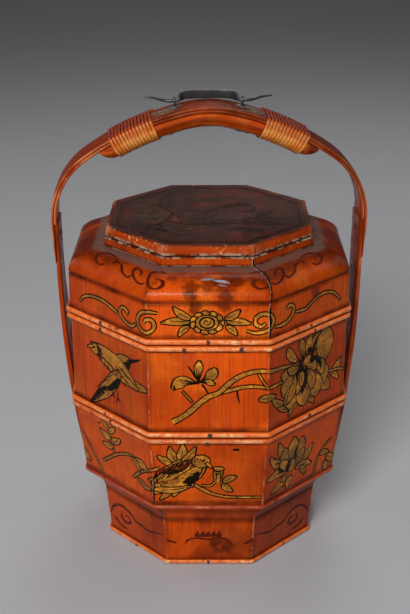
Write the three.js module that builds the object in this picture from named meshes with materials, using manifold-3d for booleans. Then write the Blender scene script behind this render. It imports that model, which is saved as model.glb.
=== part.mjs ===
// A tiered, eight-sided lacquered food basket with a bent bamboo handle.
// Millimetres, +Z up, origin at the centre of the foot's underside, front towards -Y.
import * as THREE from 'three';
import { mergeVertices } from 'three/addons/utils/BufferGeometryUtils.js';
import Module from 'manifold-3d';

const wasm = await Module();
wasm.setup();

// Clearances
const seatGap = 0.3;       // between a piece and the one it rests on or is glued to
const mitreGap = 0.3;      // between neighbouring boards at a corner
const fitGap = 0.6;        // between a nesting ring and what sits over it
const holeGap = 0.35;      // round a pin or rivet in its hole

// Foot and cove
const footHeight = 61;
const footFlare = 11.5;    // how much wider the foot is at its top, across
const footBoard = 8;
const coveHeight = 25;
const coveFlare = 35;
const coveInset = 2.6;     // how much narrower the cove ends than the tier above, across
const coveHollow = 4;      // how far the hollow cuts in from its straight chord
const coveBoard = 12;

// Tiers and the lid's band
const wallBoard = 5;
const floorBoard = 5;
const lowerHeight = 92.7;
const lowerFlare = 17.2;
const lowerInset = 0.8;    // how much narrower the lower rim is than the middle tier, across
const middleHeight = 105;
const middleAcross = 294.6;  // all the other widths follow this one
const bandHeight = 43.7;
const bandOverhang = 2.4;  // how much wider the lid's band is than the middle tier, across
const bandTaper = 1;

// Domed shoulder of the lid
const grooveHeight = 3;
const grooveDepth = 1.6;
const shoulderNarrowing = 74;  // from the band to the dome's flat top, across
const shoulderHeight = 22;
const shoulderShell = 7.5;
const shoulderLedge = 16;  // flat top that the collar and the tray board stand on

// Collar, tray and cap
const collarInset = 1;     // from the dome's flat top, across
const collarHeight = 9;
const collarTaper = 0.8;
const collarBoard = 7;
const trayBoard = 4;
const capNarrowing = 3;    // from the collar, across
const capHeight = 10.2;
const capTaper = 1.3;
const capLift = 1.9;       // visible gap between the collar and the cap
const capFrame = 10;
const capRebate = 5;
const capBoard = 4;
const capInset = 0.4;      // how far the board lies below the frame's top
const lipBoard = 4;

// Split-bamboo beads
const beadProud = 4;
const rimBeadHeight = 6.4;
const rimBeadDrop = 0.6;   // from a rim or lower edge to its bead
const footBeadHeight = 5;
const footBeadProud = 2;
const redBeadHeight = 5;
const redBeadProud = 2;
const redBeadRise = 1.4;

// Nesting rings
const ringBoard = 3.5;
const ringRise = 9;        // above the rim
const ringDrop = 24;       // below the rim
const ringBevel = 1.5;
const floorClear = 1.4;    // between a ring's top and the floor above it

// Handle strips and uprights
const handleTwist = THREE.MathUtils.degToRad(3.4);  // the crown stands turned on the tiers
const handRoom = 120.8;    // from the cap up to the strips' crown
const lapReach = 21.2;     // from the lid's band out to the strips, where they turn down
const archWidth = 46;
const outerStrip = 3.2;
const innerStrip = 3;
const crownRadius = 115;
const crownTurn = THREE.MathUtils.degToRad(12.5);
const flankTurn = THREE.MathUtils.degToRad(22.5);
const cornerRadius = 85;
const cornerTurn = THREE.MathUtils.degToRad(55.8);
const tailTip = 0.9;       // thickness where a tail of the outer strip ends
const tailTaper = 34;
const lapLength = 44;
const lapClear = 4;        // below a tail, where the upright already follows its line
const lapDrop = 2.7;       // from the end of the strips' bend to an upright's top
const uprightEndRise = 10; // from the lower tier's base to an upright's end
const uprightOverlap = 1;  // how much wider an upright is than the strips
const uprightTopBoard = 4.8;
const uprightEndBoard = 6.4;
const bowClear = 0.7;      // between a bowed upright and the beads that it passes

// Grip
const gripSetback = 18.5;  // from its end to where the strips bend down, along them
const gripOverlap = 4;     // how much wider it is than the strips
const gripDepth = 17.5;
const gripEndTaper = 15;
const gripEndDepth = 5;
const gripRound = 0.8;     // power of its round underside

// Rattan windings
const caneWidth = 3.3;
const caneThick = 1.3;
const canePitch = 4.15;
const caneShare = 0.484;   // of the grip's half length, where a winding starts
const caneSetback = 14.5;  // least length of bare grip left beyond it
const caneLift = 0.35;     // between the cane and what it is wound on
const caneBevel = 0.4;

// Split pins and plates
const pinShare = 0.5635;   // of the grip's half length, from pin to pin
const pinRise = 2.3;       // from the strips' crown up to the bail's pivot
const eyeBore = 2.5;
const eyeWire = 1.25;
const legRadius = 1.7;
const legDrop = 1;         // below the grip, to the bent tips
const tipLength = 8;
const tipRadius = 1.2;
const tipEnd = 0.5;
const plateHalf = 8;
const plateThick = 1;

// Bail, with its strap's line and its wings' line as shares of their sizes
const strapInset = 9;      // how much narrower its strap is than the pins' spread
const bailReach = 19;
const strapWidth = 9.6;
const strapThick = 2.2;
const bailWire = 3.7;
const wingLength = 32.5;   // from a pin out to a wing's tip
const wingReach = 12;
const wingTip = 1.8;
const elbow = 2.6;         // where the strap's leg turns out through the eye
const strapLineShares = [[0, 1], [0.45, 0.985], [0.78, 0.86], [0.95, 0.6], [1, 0.32]];
const elbowLineShares = [[0.1, 0.8], [0.55, 0.12]];
const wingLineShares = [[0.14, 0.01], [0.38, 0.26], [0.68, 0.8], [1, 1]];
const squareShare = 0.82;  // how far a strap's flat reaches towards its edge
const roundShare = 0.414;  // the same for an even eight-sided wire

// Rivets
const rivetShank = 1.5;
const rivetHead = 3.6;
const rivetDome = 1.5;
const rivetClench = 2.8;
const rivetClenchThick = 0.9;
const rivetRow = 11;       // between the two rivets of one upright
const rivetRise = 7;       // from an upright's end to its first rivet
const lapRivetDrop = 15;   // from an upright's top to the lap's rivet

// Counts that set how fine the round shapes are
const sideCount = 8;
const beadSteps = 6;
const coveSteps = 6;
const shoulderSteps = 9;
const shellSteps = 5;
const archStep = 9;
const bowSteps = 13;
const lapSteps = 3;
const gripSteps = 8;
const roundSides = 12;
const eyeSteps = 16;
const wireSides = 8;
const domeSteps = 3;
const lineSteps = 2;
const halvings = 50;

const cutOverrun = 4;
const weldDistance = 0.0001;
const sharpTurn = THREE.MathUtils.degToRad(50);
const halfSide = Math.PI / sideCount;
const cornerRatio = 1 / Math.cos(halfSide);
const halfSideRatio = Math.tan(halfSide);
const yAxis = new THREE.Vector3(0, 1, 0);
const zAxis = new THREE.Vector3(0, 0, 1);

// Widths across the flats, worked out from the middle tier's
const lowerAcrossTop = middleAcross - lowerInset;
const lowerAcrossBottom = lowerAcrossTop - lowerFlare;
const coveAcrossTop = lowerAcrossBottom - coveInset;
const footAcrossTop = coveAcrossTop - coveFlare;
const footAcrossBottom = footAcrossTop - footFlare;
const bandAcrossBottom = middleAcross + bandOverhang;
const bandAcrossTop = bandAcrossBottom - bandTaper;
const shoulderAcrossTop = bandAcrossTop - shoulderNarrowing;
const collarAcross = shoulderAcrossTop - collarInset;
const capAcross = collarAcross - capNarrowing;
const uprightWidth = archWidth + uprightOverlap;
const gripWidth = archWidth + gripOverlap;

// Levels worked out from the pieces' heights
const lowerBase = footHeight + coveHeight;
const lowerTop = lowerBase + lowerHeight;
const middleBase = lowerTop + seatGap;
const middleTop = middleBase + middleHeight;
const bandBase = middleTop + seatGap;
const bandTop = bandBase + bandHeight;
const shoulderBase = bandTop + seatGap;
const domeBase = shoulderBase + grooveHeight;
const domeTop = domeBase + shoulderHeight;
const collarBase = domeTop + seatGap;
const collarTop = collarBase + collarHeight;
const trayTop = collarBase + trayBoard;
const capBase = collarTop + capLift;
const capTop = capBase + capHeight;
const archTop = capTop + handRoom;
const uprightEndHeight = lowerBase + uprightEndRise;

// Finishes

const finishes = {
  lacquer: { color: 0xc4430f, roughness: 0.32, metalness: 0 },
  redBead: { color: 0xb5370d, roughness: 0.35, metalness: 0 },
  bead: { color: 0xe08a4a, roughness: 0.4, metalness: 0 },
  bareBoard: { color: 0x8a4a22, roughness: 0.6, metalness: 0 },
  darkTop: { color: 0x4b2320, roughness: 0.4, metalness: 0 },
  bamboo: { color: 0x9c4a1e, roughness: 0.4, metalness: 0 },
  rattan: { color: 0xe0964c, roughness: 0.45, metalness: 0 },
  iron: { color: 0x3b3733, roughness: 0.5, metalness: 0.8 },
};

function piece(name, geometry, finish) {
  const material = new THREE.MeshStandardMaterial({ ...finishes[finish], flatShading: true });
  const mesh = new THREE.Mesh(geometry, material);
  mesh.name = name;
  return mesh;
}

// Shared shapes

// A run of equal outlines joined one after another and closed at both ends. Each outline turns
// anticlockwise about the direction of the run, and is convex.
function loft(outlines) {
  const count = outlines[0].length;
  const index = [];
  for (let row = 0; row + 1 < outlines.length; row++) {
    for (let here = 0; here < count; here++) {
      const a = row * count + here;
      const b = row * count + (here + 1) % count;
      index.push(a, b, a + count, b, b + count, a + count);
    }
  }
  const last = (outlines.length - 1) * count;
  for (let corner = 1; corner + 1 < count; corner++) {
    index.push(0, corner + 1, corner);
    index.push(last, last + corner, last + corner + 1);
  }
  const geometry = new THREE.BufferGeometry();
  geometry.setFromPoints(outlines.flat());
  geometry.setIndex(index);
  geometry.computeVertexNormals();
  return geometry;
}

// An eight-sided ring from an outline of [distance to the flat, height], outer side going up
function ring(outline) {
  const closed = [...outline, outline[0]];
  const points = closed.map(([flat, height]) => new THREE.Vector2(flat * cornerRatio, height));
  return new THREE.LatheGeometry(points, sideCount, halfSide).rotateX(Math.PI / 2);
}

// An eight-sided board lying flat
function plate(flat, base, thick) {
  const corners = Array.from({ length: sideCount }, (_, corner) => {
    const turn = halfSide * (2 * corner + 1);
    return new THREE.Vector2(Math.cos(turn), Math.sin(turn)).multiplyScalar(flat * cornerRatio);
  });
  const geometry = new THREE.ExtrudeGeometry(new THREE.Shape(corners), {
    depth: thick,
    bevelEnabled: false,
  });
  return geometry.translate(0, 0, base);
}

// One of eight mitred boards, from an outline of [distance to the flat, height]
function mitredBoard(outline, place) {
  const turn = 2 * halfSide * place;
  const outward = new THREE.Vector3(Math.cos(turn), Math.sin(turn), 0);
  const along = new THREE.Vector3(-Math.sin(turn), Math.cos(turn), 0);
  const halfMitre = mitreGap / 2 * cornerRatio;
  return loft([1, -1].map((hand) => outline.map(([flat, height]) => new THREE.Vector3()
    .addScaledVector(outward, flat)
    .addScaledVector(along, hand * (flat * halfSideRatio - halfMitre))
    .addScaledVector(zAxis, height))));
}

// The eight boards of a wall between two levels, with holes cut in some of them
function boards(name, wallAt, base, top, cutters = {}) {
  const outline = [
    [wallAt(base), base],
    [wallAt(top), top],
    [wallAt(top) - wallBoard, top],
    [wallAt(base) - wallBoard, base],
  ];
  const group = new THREE.Group();
  for (let place = 0; place < sideCount; place++) {
    const board = mitredBoard(outline, place);
    const finished = place in cutters ? cut(board, cutters[place]) : board;
    group.add(piece(`${name}_${place + 1}`, finished, 'lacquer'));
  }
  return group;
}

// A half-round strip bent round a wall
function bead(name, wallAt, base, height, proud, finish) {
  const outline = [];
  for (let step = 0; step <= beadSteps; step++) {
    const turn = Math.PI * (step / beadSteps - 1 / 2);
    const level = base + height / 2 * (1 + Math.sin(turn));
    outline.push([wallAt(level) + seatGap + proud * Math.cos(turn), level]);
  }
  return piece(name, ring(outline), finish);
}

// A round bar on the line from one point to another
function bar(from, to, fromRadius, toRadius, sides) {
  const length = from.distanceTo(to);
  const geometry = new THREE.CylinderGeometry(toRadius, fromRadius, length, sides);
  const turn = new THREE.Quaternion().setFromUnitVectors(yAxis, to.clone().sub(from).normalize());
  const middle = from.clone().add(to).multiplyScalar(1 / 2);
  return geometry.applyQuaternion(turn).translate(middle.x, middle.y, middle.z);
}

function toSolid(geometry) {
  const bare = geometry.clone();
  bare.deleteAttribute('normal');
  bare.deleteAttribute('uv');
  const merged = mergeVertices(bare, weldDistance);
  return new wasm.Manifold(new wasm.Mesh({
    numProp: 3,
    vertProperties: Float32Array.from(merged.attributes.position.array),
    triVerts: Uint32Array.from(merged.index.array),
  }));
}

function toGeometry(solid) {
  const { vertProperties, triVerts, numProp } = solid.getMesh();
  const geometry = new THREE.BufferGeometry();
  geometry.setAttribute('position', new THREE.BufferAttribute(vertProperties, numProp));
  geometry.setIndex(new THREE.BufferAttribute(triVerts, 1));
  geometry.computeVertexNormals();
  return geometry;
}

function cut(geometry, cutters) {
  return toGeometry(cutters.reduce((left, cutter) => left.subtract(toSolid(cutter)), toSolid(geometry)));
}

function join(geometries) {
  return toGeometry(geometries.map(toSolid).reduce((whole, solid) => whole.add(solid)));
}

function between(low, high, share) {
  return low + (high - low) * share;
}

// Distances from the axis to the walls' outer faces

function footWall(level) {
  return between(footAcrossBottom, footAcrossTop, level / footHeight) / 2;
}

function lowerWall(level) {
  return between(lowerAcrossBottom, lowerAcrossTop, (level - lowerBase) / lowerHeight) / 2;
}

function middleWall() {
  return middleAcross / 2;
}

function bandWall(level) {
  return between(bandAcrossBottom, bandAcrossTop, (level - bandBase) / bandHeight) / 2;
}

// The handle's line, seen from the front. A distance along it is counted from the crown.

// The flanks' radius is the one that brings the strips down beside the lid
const bendEnds = [crownTurn, crownTurn + flankTurn, crownTurn + flankTurn + cornerTurn].map(Math.sin);
const flankReach = bandAcrossBottom / 2 + lapReach
  - crownRadius * bendEnds[0] - cornerRadius * (bendEnds[2] - bendEnds[1]);
const flankRadius = flankReach / (bendEnds[1] - bendEnds[0]);

const bends = [
  { radius: crownRadius, turn: crownTurn },
  { radius: flankRadius, turn: flankTurn },
  { radius: cornerRadius, turn: cornerTurn },
];

// Where the strips' outer face is at a distance from the crown, and which way it looks
function archLine(distance) {
  let left = Math.abs(distance);
  let x = 0;
  let z = archTop;
  let turned = 0;
  for (const { radius, turn } of bends) {
    const part = Math.min(left / radius, turn);
    x += radius * (Math.sin(turned + part) - Math.sin(turned));
    z -= radius * (Math.cos(turned) - Math.cos(turned + part));
    turned += part;
    left -= part * radius;
  }
  x += left * Math.cos(turned);
  z -= left * Math.sin(turned);
  const hand = Math.sign(distance) || 1;
  return {
    at: new THREE.Vector3(hand * x, 0, z),
    outward: new THREE.Vector3(hand * Math.sin(turned), 0, Math.cos(turned)),
    along: new THREE.Vector3(Math.cos(turned), 0, -hand * Math.sin(turned)),
  };
}

// A point given by its distance along the line, its depth under the outer face and its y
function underArch(distance, depth, y) {
  const { at, outward } = archLine(distance);
  return at.clone().addScaledVector(outward, -depth).addScaledVector(yAxis, y);
}

// The distance along the line at which a rising measure of the line reaches a value
function archDistance(measure, value) {
  let low = 0;
  let high = archTop;
  for (let halving = 0; halving < halvings; halving++) {
    const middle = (low + high) / 2;
    if (measure(middle) < value) low = middle;
    else high = middle;
  }
  return low;
}

function archDistanceAtLevel(level) {
  return archDistance((distance) => archTop - archLine(distance).at.z, archTop - level);
}

function stations(half, step) {
  const count = Math.ceil(half / step);
  return Array.from({ length: 2 * count + 1 }, (_, place) => half * (place / count - 1));
}

const bendLength = bends.reduce((whole, { radius, turn }) => whole + radius * turn, 0);
const uprightTopHeight = archLine(bendLength).at.z - lapDrop;
const lapStart = archDistanceAtLevel(uprightTopHeight);
const tailEnd = lapStart + lapLength;
const stripDepth = outerStrip + seatGap + innerStrip;
const gripTop = stripDepth + seatGap;
const gripHalf = crownRadius * crownTurn + flankRadius * flankTurn - gripSetback;
const caneStart = gripHalf * caneShare;
const caneTurns = Math.floor((gripHalf - caneStart - caneSetback) / canePitch);
const pinSpread = gripHalf * pinShare;
const bailSpan = pinSpread - strapInset;
const wingSpan = pinSpread + 2 * wingLength;

// A strip of the handle, between two depths under the line
function strip(distances, outerDepthAt, innerDepth) {
  return loft(distances.map((distance) => [
    underArch(distance, innerDepth, -archWidth / 2),
    underArch(distance, innerDepth, archWidth / 2),
    underArch(distance, outerDepthAt(distance), archWidth / 2),
    underArch(distance, outerDepthAt(distance), -archWidth / 2),
  ]));
}

// The outer strip thins over its tails, which lap down the uprights
function outerStripShape() {
  const tailStart = tailEnd - tailTaper;
  const thinning = (distance) => {
    const share = Math.max(Math.abs(distance) - tailStart, 0) / tailTaper;
    return (outerStrip - tailTip) * share;
  };
  const distances = [-tailEnd, ...stations(tailStart, archStep), tailEnd];
  return strip(distances, thinning, outerStrip);
}

function innerStripShape() {
  const start = outerStrip + seatGap;
  return strip(stations(lapStart - seatGap, archStep), () => start, start + innerStrip);
}

// Uprights

const uprightRise = uprightTopHeight - uprightEndHeight;
const uprightOuterTop = underArch(lapStart, outerStrip + seatGap, 0).x;
const uprightInnerTop = uprightOuterTop - uprightTopBoard;
const uprightInnerEnd = lowerWall(uprightEndHeight) + seatGap;
const lapFootHeight = archLine(tailEnd).at.z - lapClear;

// The power of the uprights' bow that takes them past the beads of both tiers
const beadsPassed = [
  [lowerTop - rimBeadDrop - rimBeadHeight, lowerWall],
  [middleBase + rimBeadDrop, middleWall],
];
const uprightBow = Math.max(...beadsPassed.map(([level, wallAt]) => {
  const inner = wallAt(level) + seatGap + beadProud + bowClear;
  const share = (uprightInnerTop - inner) / (uprightInnerTop - uprightInnerEnd);
  return Math.log(share) / Math.log((uprightTopHeight - level) / uprightRise);
}));

// The turn of the handle on the tiers, which eases to nothing down the uprights
function twistAt(level) {
  return handleTwist * THREE.MathUtils.smoothstep(level, lowerTop, lapFootHeight);
}

// Flat on the lower tier at its end, then bowed out past the rim to the strips
function uprightInner(level) {
  const fallen = (uprightTopHeight - level) / uprightRise;
  const bowed = between(uprightInnerTop, uprightInnerEnd, fallen ** uprightBow);
  return level < lowerTop ? Math.max(bowed, lowerWall(level) + seatGap) : bowed;
}

function uprightOuter(level) {
  const fallen = (uprightTopHeight - level) / uprightRise;
  const free = uprightInner(level) + between(uprightTopBoard, uprightEndBoard, fallen);
  if (level < lapFootHeight) return free;
  return Math.min(free, underArch(archDistanceAtLevel(level), outerStrip + seatGap, 0).x);
}

function uprightLevels() {
  const bowed = Array.from({ length: bowSteps }, (_, step) => (
    between(uprightEndHeight, lapFootHeight, step / bowSteps)));
  const lapped = Array.from({ length: lapSteps + 1 }, (_, step) => (
    between(lapFootHeight, uprightTopHeight, step / lapSteps)));
  return [...bowed, ...lapped];
}

function uprightShape(hand) {
  const half = uprightWidth / 2;
  return loft(uprightLevels().map((level) => {
    const inner = uprightInner(level);
    const outer = uprightOuter(level);
    return [[outer, -half], [outer, half], [inner, half], [inner, -half]]
      .map(([x, y]) => new THREE.Vector3(hand * x, hand * y, level).applyAxisAngle(zAxis, twistAt(level)));
  }));
}

// Rivets. Each is known by its level and by the two faces that it holds together.

const wallRivetLevels = [rivetRise, rivetRise + rivetRow].map((rise) => uprightEndHeight + rise);
const lapRivetLevel = uprightTopHeight - lapRivetDrop;

function rivetShape(level, hand, outerFace, innerFace) {
  const outer = Math.max(outerFace(level - rivetHead), outerFace(level + rivetHead)) + seatGap;
  const inner = Math.min(innerFace(level - rivetClench), innerFace(level + rivetClench)) - seatGap;
  const outline = [
    [0, inner - rivetClenchThick],
    [rivetClench, inner - rivetClenchThick],
    [rivetClench, inner],
    [rivetShank, inner],
    [rivetShank, outer],
    [rivetHead, outer],
  ];
  for (let step = 1; step <= domeSteps; step++) {
    const turn = Math.PI / 2 * step / domeSteps;
    outline.push([step < domeSteps ? rivetHead * Math.cos(turn) : 0, outer + rivetDome * Math.sin(turn)]);
  }
  const points = outline.map(([radius, along]) => new THREE.Vector2(radius, along));
  return new THREE.LatheGeometry(points, roundSides)
    .rotateZ(-hand * Math.PI / 2)
    .translate(0, 0, level);
}

function rivetHole(level, hand, turn) {
  const from = new THREE.Vector3(hand * (uprightOuterTop + cornerRadius), 0, level);
  const to = new THREE.Vector3(0, 0, level);
  const radius = rivetShank + holeGap;
  return bar(to, from, radius, radius, roundSides).applyQuaternion(
    new THREE.Quaternion().setFromAxisAngle(zAxis, turn),
  );
}

// The foot, the cove and the lower tier

function footPieces() {
  const group = new THREE.Group();
  group.add(piece('foot_ring', ring([
    [footWall(0), 0],
    [footWall(footHeight), footHeight],
    [footWall(footHeight) - footBoard, footHeight],
    [footWall(0) - footBoard, 0],
  ]), 'lacquer'));
  group.add(bead('foot_bead', footWall, 0, footBeadHeight, footBeadProud, 'bead'));

  const coveBase = footHeight + seatGap;
  const coveTop = lowerBase - seatGap;
  const outline = [];
  for (let step = 0; step <= coveSteps; step++) {
    const share = step / coveSteps;
    const chord = between(footWall(footHeight), coveAcrossTop / 2, share);
    outline.push([chord - coveHollow * Math.sin(Math.PI * share), between(coveBase, coveTop, share)]);
  }
  outline.push([coveAcrossTop / 2 - coveBoard, coveTop]);
  outline.push([footWall(footHeight) - footBoard, coveBase]);
  group.add(piece('foot_cove', ring(outline), 'lacquer'));
  return group;
}

// A ring glued inside a rim, which the tier above sits over
function nestingRing(name, wallAt, rim, innerAbove) {
  const base = rim - ringDrop;
  const low = wallAt(base) - wallBoard - seatGap;
  const high = Math.min(wallAt(rim) - wallBoard - seatGap, innerAbove - fitGap);
  return piece(name, ring([
    [low, base],
    [high, rim],
    [high, rim + ringRise - ringBevel],
    [high - ringBevel, rim + ringRise],
    [high - ringBoard, rim + ringRise],
    [high - ringBoard, rim],
    [low - ringBoard, base],
  ]), 'bareBoard');
}

function lowerTierPieces() {
  const group = new THREE.Group();
  const holes = (hand) => wallRivetLevels.map((level) => rivetHole(level, hand, 0));
  const cutters = { 0: holes(1), [sideCount / 2]: holes(-1) };
  group.add(boards('lower_wall', lowerWall, lowerBase, lowerTop, cutters));
  const floorFlat = lowerWall(lowerBase) - wallBoard - seatGap;
  group.add(piece('lower_floor', plate(floorFlat, lowerBase, floorBoard), 'bareBoard'));
  const redBase = lowerBase + redBeadRise;
  group.add(bead('lower_bottom_bead', lowerWall, redBase, redBeadHeight, redBeadProud, 'redBead'));
  const rimBase = lowerTop - rimBeadDrop - rimBeadHeight;
  group.add(bead('lower_rim_bead', lowerWall, rimBase, rimBeadHeight, beadProud, 'bead'));
  group.add(nestingRing('lower_nesting_ring', lowerWall, lowerTop, middleWall() - wallBoard));
  return group;
}

function middleTierPieces() {
  const group = new THREE.Group();
  group.add(boards('middle_wall', middleWall, middleBase, middleTop));
  const floorBase = lowerTop + ringRise + floorClear;
  const floorFlat = middleWall() - wallBoard - seatGap;
  group.add(piece('middle_floor', plate(floorFlat, floorBase, floorBoard), 'bareBoard'));
  const bottomBase = middleBase + rimBeadDrop;
  group.add(bead('middle_bottom_bead', middleWall, bottomBase, rimBeadHeight, beadProud, 'bead'));
  const rimBase = middleTop - rimBeadDrop - rimBeadHeight;
  group.add(bead('middle_rim_bead', middleWall, rimBase, rimBeadHeight, beadProud, 'bead'));
  group.add(nestingRing('middle_nesting_ring', middleWall, middleTop, bandWall(bandBase) - wallBoard));
  return group;
}

// The lid: its band, its domed shoulder, the collar and the tray board

function shoulderShape() {
  const low = bandWall(bandTop);
  const high = shoulderAcrossTop / 2;
  const outline = [[low - grooveDepth, shoulderBase], [low - grooveDepth, domeBase]];
  for (let step = 0; step <= shoulderSteps; step++) {
    const turn = Math.PI / 2 * step / shoulderSteps;
    const flat = high + (low - high) * Math.cos(turn);
    outline.push([flat, domeBase + shoulderHeight * Math.sin(turn)]);
  }
  outline.push([high - shoulderLedge, domeTop]);
  for (let step = shellSteps; step >= 0; step--) {
    const turn = Math.PI / 2 * step / shellSteps;
    const flat = high - shoulderLedge + (low - high + shoulderLedge - shoulderShell) * Math.cos(turn);
    outline.push([flat, domeBase + (shoulderHeight - shoulderShell) * Math.sin(turn)]);
  }
  outline.push([low - shoulderShell - grooveDepth, shoulderBase]);
  return ring(outline);
}

function lidPieces() {
  const group = new THREE.Group();
  group.add(boards('lid_band', bandWall, bandBase, bandTop));
  const beadBase = bandBase + rimBeadDrop;
  group.add(bead('lid_bead', bandWall, beadBase, rimBeadHeight, beadProud, 'bead'));
  group.add(piece('lid_shoulder', shoulderShape(), 'lacquer'));
  const collarFlat = collarAcross / 2;
  group.add(piece('lid_collar', ring([
    [collarFlat, collarBase],
    [collarFlat - collarTaper, collarTop],
    [collarFlat - collarBoard, collarTop],
    [collarFlat - collarBoard, collarBase],
  ]), 'lacquer'));
  const trayFlat = collarFlat - collarBoard - seatGap;
  group.add(piece('lid_tray_board', plate(trayFlat, collarBase, trayBoard), 'bareBoard'));
  return group;
}

function capPieces() {
  const group = new THREE.Group();
  const low = capAcross / 2;
  const high = low - capTaper;
  const opening = high - capFrame;
  const boardBase = capTop - capInset - capBoard;
  group.add(piece('cap_frame', ring([
    [low, capBase],
    [high, capTop],
    [opening, capTop],
    [opening, boardBase - seatGap],
    [opening - capRebate, boardBase - seatGap],
    [opening - capRebate, capBase],
  ]), 'darkTop'));
  group.add(piece('cap_board', plate(opening - seatGap, boardBase, capBoard), 'darkTop'));
  const lipFlat = collarAcross / 2 - collarBoard - fitGap;
  group.add(piece('cap_lip', ring([
    [lipFlat, trayTop + seatGap],
    [lipFlat, capBase - seatGap],
    [lipFlat - lipBoard, capBase - seatGap],
    [lipFlat - lipBoard, trayTop + seatGap],
  ]), 'bareBoard'));
  return group;
}

// The grip under the crown

function gripDepthAt(distance) {
  const share = Math.min((gripHalf - Math.abs(distance)) / gripEndTaper, 1);
  return between(gripEndDepth, gripDepth, Math.sqrt(1 - (1 - share) ** 2));
}

// Its half-round section, as [y, depth under the strips' outer face]
function gripSection(distance) {
  const half = gripWidth / 2;
  const depth = gripDepthAt(distance);
  const section = [[half, gripTop], [-half, gripTop]];
  for (let step = 1; step < gripSteps; step++) {
    const turn = Math.PI * step / gripSteps;
    section.push([-half * Math.cos(turn), gripTop + depth * Math.sin(turn) ** gripRound]);
  }
  return section;
}

function gripShape() {
  const body = stations(gripHalf - gripEndTaper, archStep);
  const ends = [1 / 2, 1 / 6, 0].map((share) => gripHalf - gripEndTaper * share);
  const distances = [...ends.map((end) => -end).toReversed(), ...body, ...ends];
  return loft(distances.map((distance) => gripSection(distance)
    .map(([y, depth]) => underArch(distance, depth, y))));
}

// The rattan windings round the strips and the grip

// The line of the cane round one section: points with the way that each looks out
function caneRound(distance) {
  const lift = caneLift + caneThick / 2;
  const half = archWidth / 2;
  const section = [...gripSection(distance), [half, 0], [-half, 0]];
  const middle = gripSteps / 2;
  const order = [
    ...section.slice(1 + middle, 1 + gripSteps),
    section[0],
    ...section.slice(1 + gripSteps),
    ...section.slice(1, 1 + middle),
  ].map(([y, depth]) => new THREE.Vector2(y, -depth));
  return order.flatMap((here, place) => {
    const before = here.clone().sub(order.at(place - 1)).normalize();
    const after = order[(place + 1) % order.length].clone().sub(here).normalize();
    const turn = Math.acos(Math.min(before.dot(after), 1));
    const firstOut = new THREE.Vector2(before.y, -before.x);
    const out = new THREE.Vector2();
    if (turn < sharpTurn) {
      out.copy(firstOut).rotateAround(new THREE.Vector2(), turn / 2);
      return [{ at: here.clone().addScaledVector(out, lift / Math.cos(turn / 2)), out }];
    }
    return [0, 1 / 2, 1].map((share) => {
      const way = firstOut.clone().rotateAround(new THREE.Vector2(), turn * share);
      return { at: here.clone().addScaledVector(way, lift), out: way };
    });
  });
}

function caneSections(hand) {
  const halfWidth = caneWidth / 2;
  const halfThick = caneThick / 2;
  const flat = halfWidth - caneBevel;
  const outline = [
    [-halfWidth, 0], [-flat, -halfThick], [flat, -halfThick],
    [halfWidth, 0], [flat, halfThick], [-flat, halfThick],
  ];
  const perTurn = caneRound(caneStart).length;
  const sections = [];
  for (let step = 0; step <= caneTurns * perTurn; step++) {
    const distance = hand * (caneStart + canePitch * step / perTurn);
    const { at, out } = caneRound(distance)[step % perTurn];
    const { outward, along } = archLine(distance);
    const middle = underArch(distance, -at.y, at.x);
    const away = outward.clone().multiplyScalar(out.y).addScaledVector(yAxis, out.x);
    sections.push(outline.map(([across, up]) => middle.clone()
      .addScaledVector(along, across)
      .addScaledVector(away, up)));
  }
  return { sections, perTurn };
}

// The least distance between points that lie more than half a turn apart
function leastGap(sections, perTurn) {
  let least = Infinity;
  for (let first = 0; first < sections.length; first++) {
    for (let second = first + Math.ceil(perTurn / 2); second < sections.length; second++) {
      if (second > first + 2 * perTurn) break;
      for (const a of sections[first]) {
        for (const b of sections[second]) least = Math.min(least, a.distanceTo(b));
      }
    }
  }
  return least;
}

function winding(name, hand) {
  const { sections, perTurn } = caneSections(hand);
  const gap = leastGap(sections, perTurn).toFixed(2);
  console.log(`${name}: ${caneTurns} turns, least gap to itself ${gap} mm`);
  return piece(name, loft(sections), 'rattan');
}

// The split pins, their plates and the bail

const pivotLevel = archTop + pinRise;

// The point of a face under the strips that is straight below a pin
function underPin(hand, depth) {
  const x = pinSpread / 2;
  const distance = archDistance((value) => underArch(value, depth, 0).x, x);
  const { along } = archLine(hand * distance);
  return { at: underArch(hand * distance, depth, 0), along };
}

function pinHole(hand) {
  const radius = legRadius + holeGap;
  const top = new THREE.Vector3(hand * pinSpread / 2, 0, archTop + cutOverrun);
  const foot = underPin(hand, gripTop + gripDepth).at;
  foot.x = top.x;
  foot.z -= cutOverrun;
  return bar(foot, top, radius, radius, roundSides);
}

function splitPin(name, hand) {
  const eyeRadius = eyeBore + eyeWire;
  const x = hand * pinSpread / 2;
  const eye = new THREE.TorusGeometry(eyeRadius, eyeWire, wireSides, eyeSteps)
    .rotateY(Math.PI / 2)
    .translate(x, 0, pivotLevel);
  const { at, along } = underPin(hand, gripTop + gripDepth);
  const foot = at.clone().addScaledVector(zAxis, -legDrop - tipRadius);
  foot.x = x;
  const top = new THREE.Vector3(x, 0, pivotLevel - eyeRadius);
  const leg = bar(foot, top, legRadius, legRadius, roundSides);
  const tips = [1, -1].map((way) => bar(
    foot.clone().addScaledVector(zAxis, tipRadius / 2),
    foot.clone().addScaledVector(along, way * tipLength),
    tipRadius,
    tipEnd,
    wireSides,
  ));
  return piece(name, join([eye, leg, ...tips]), 'iron');
}

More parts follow.
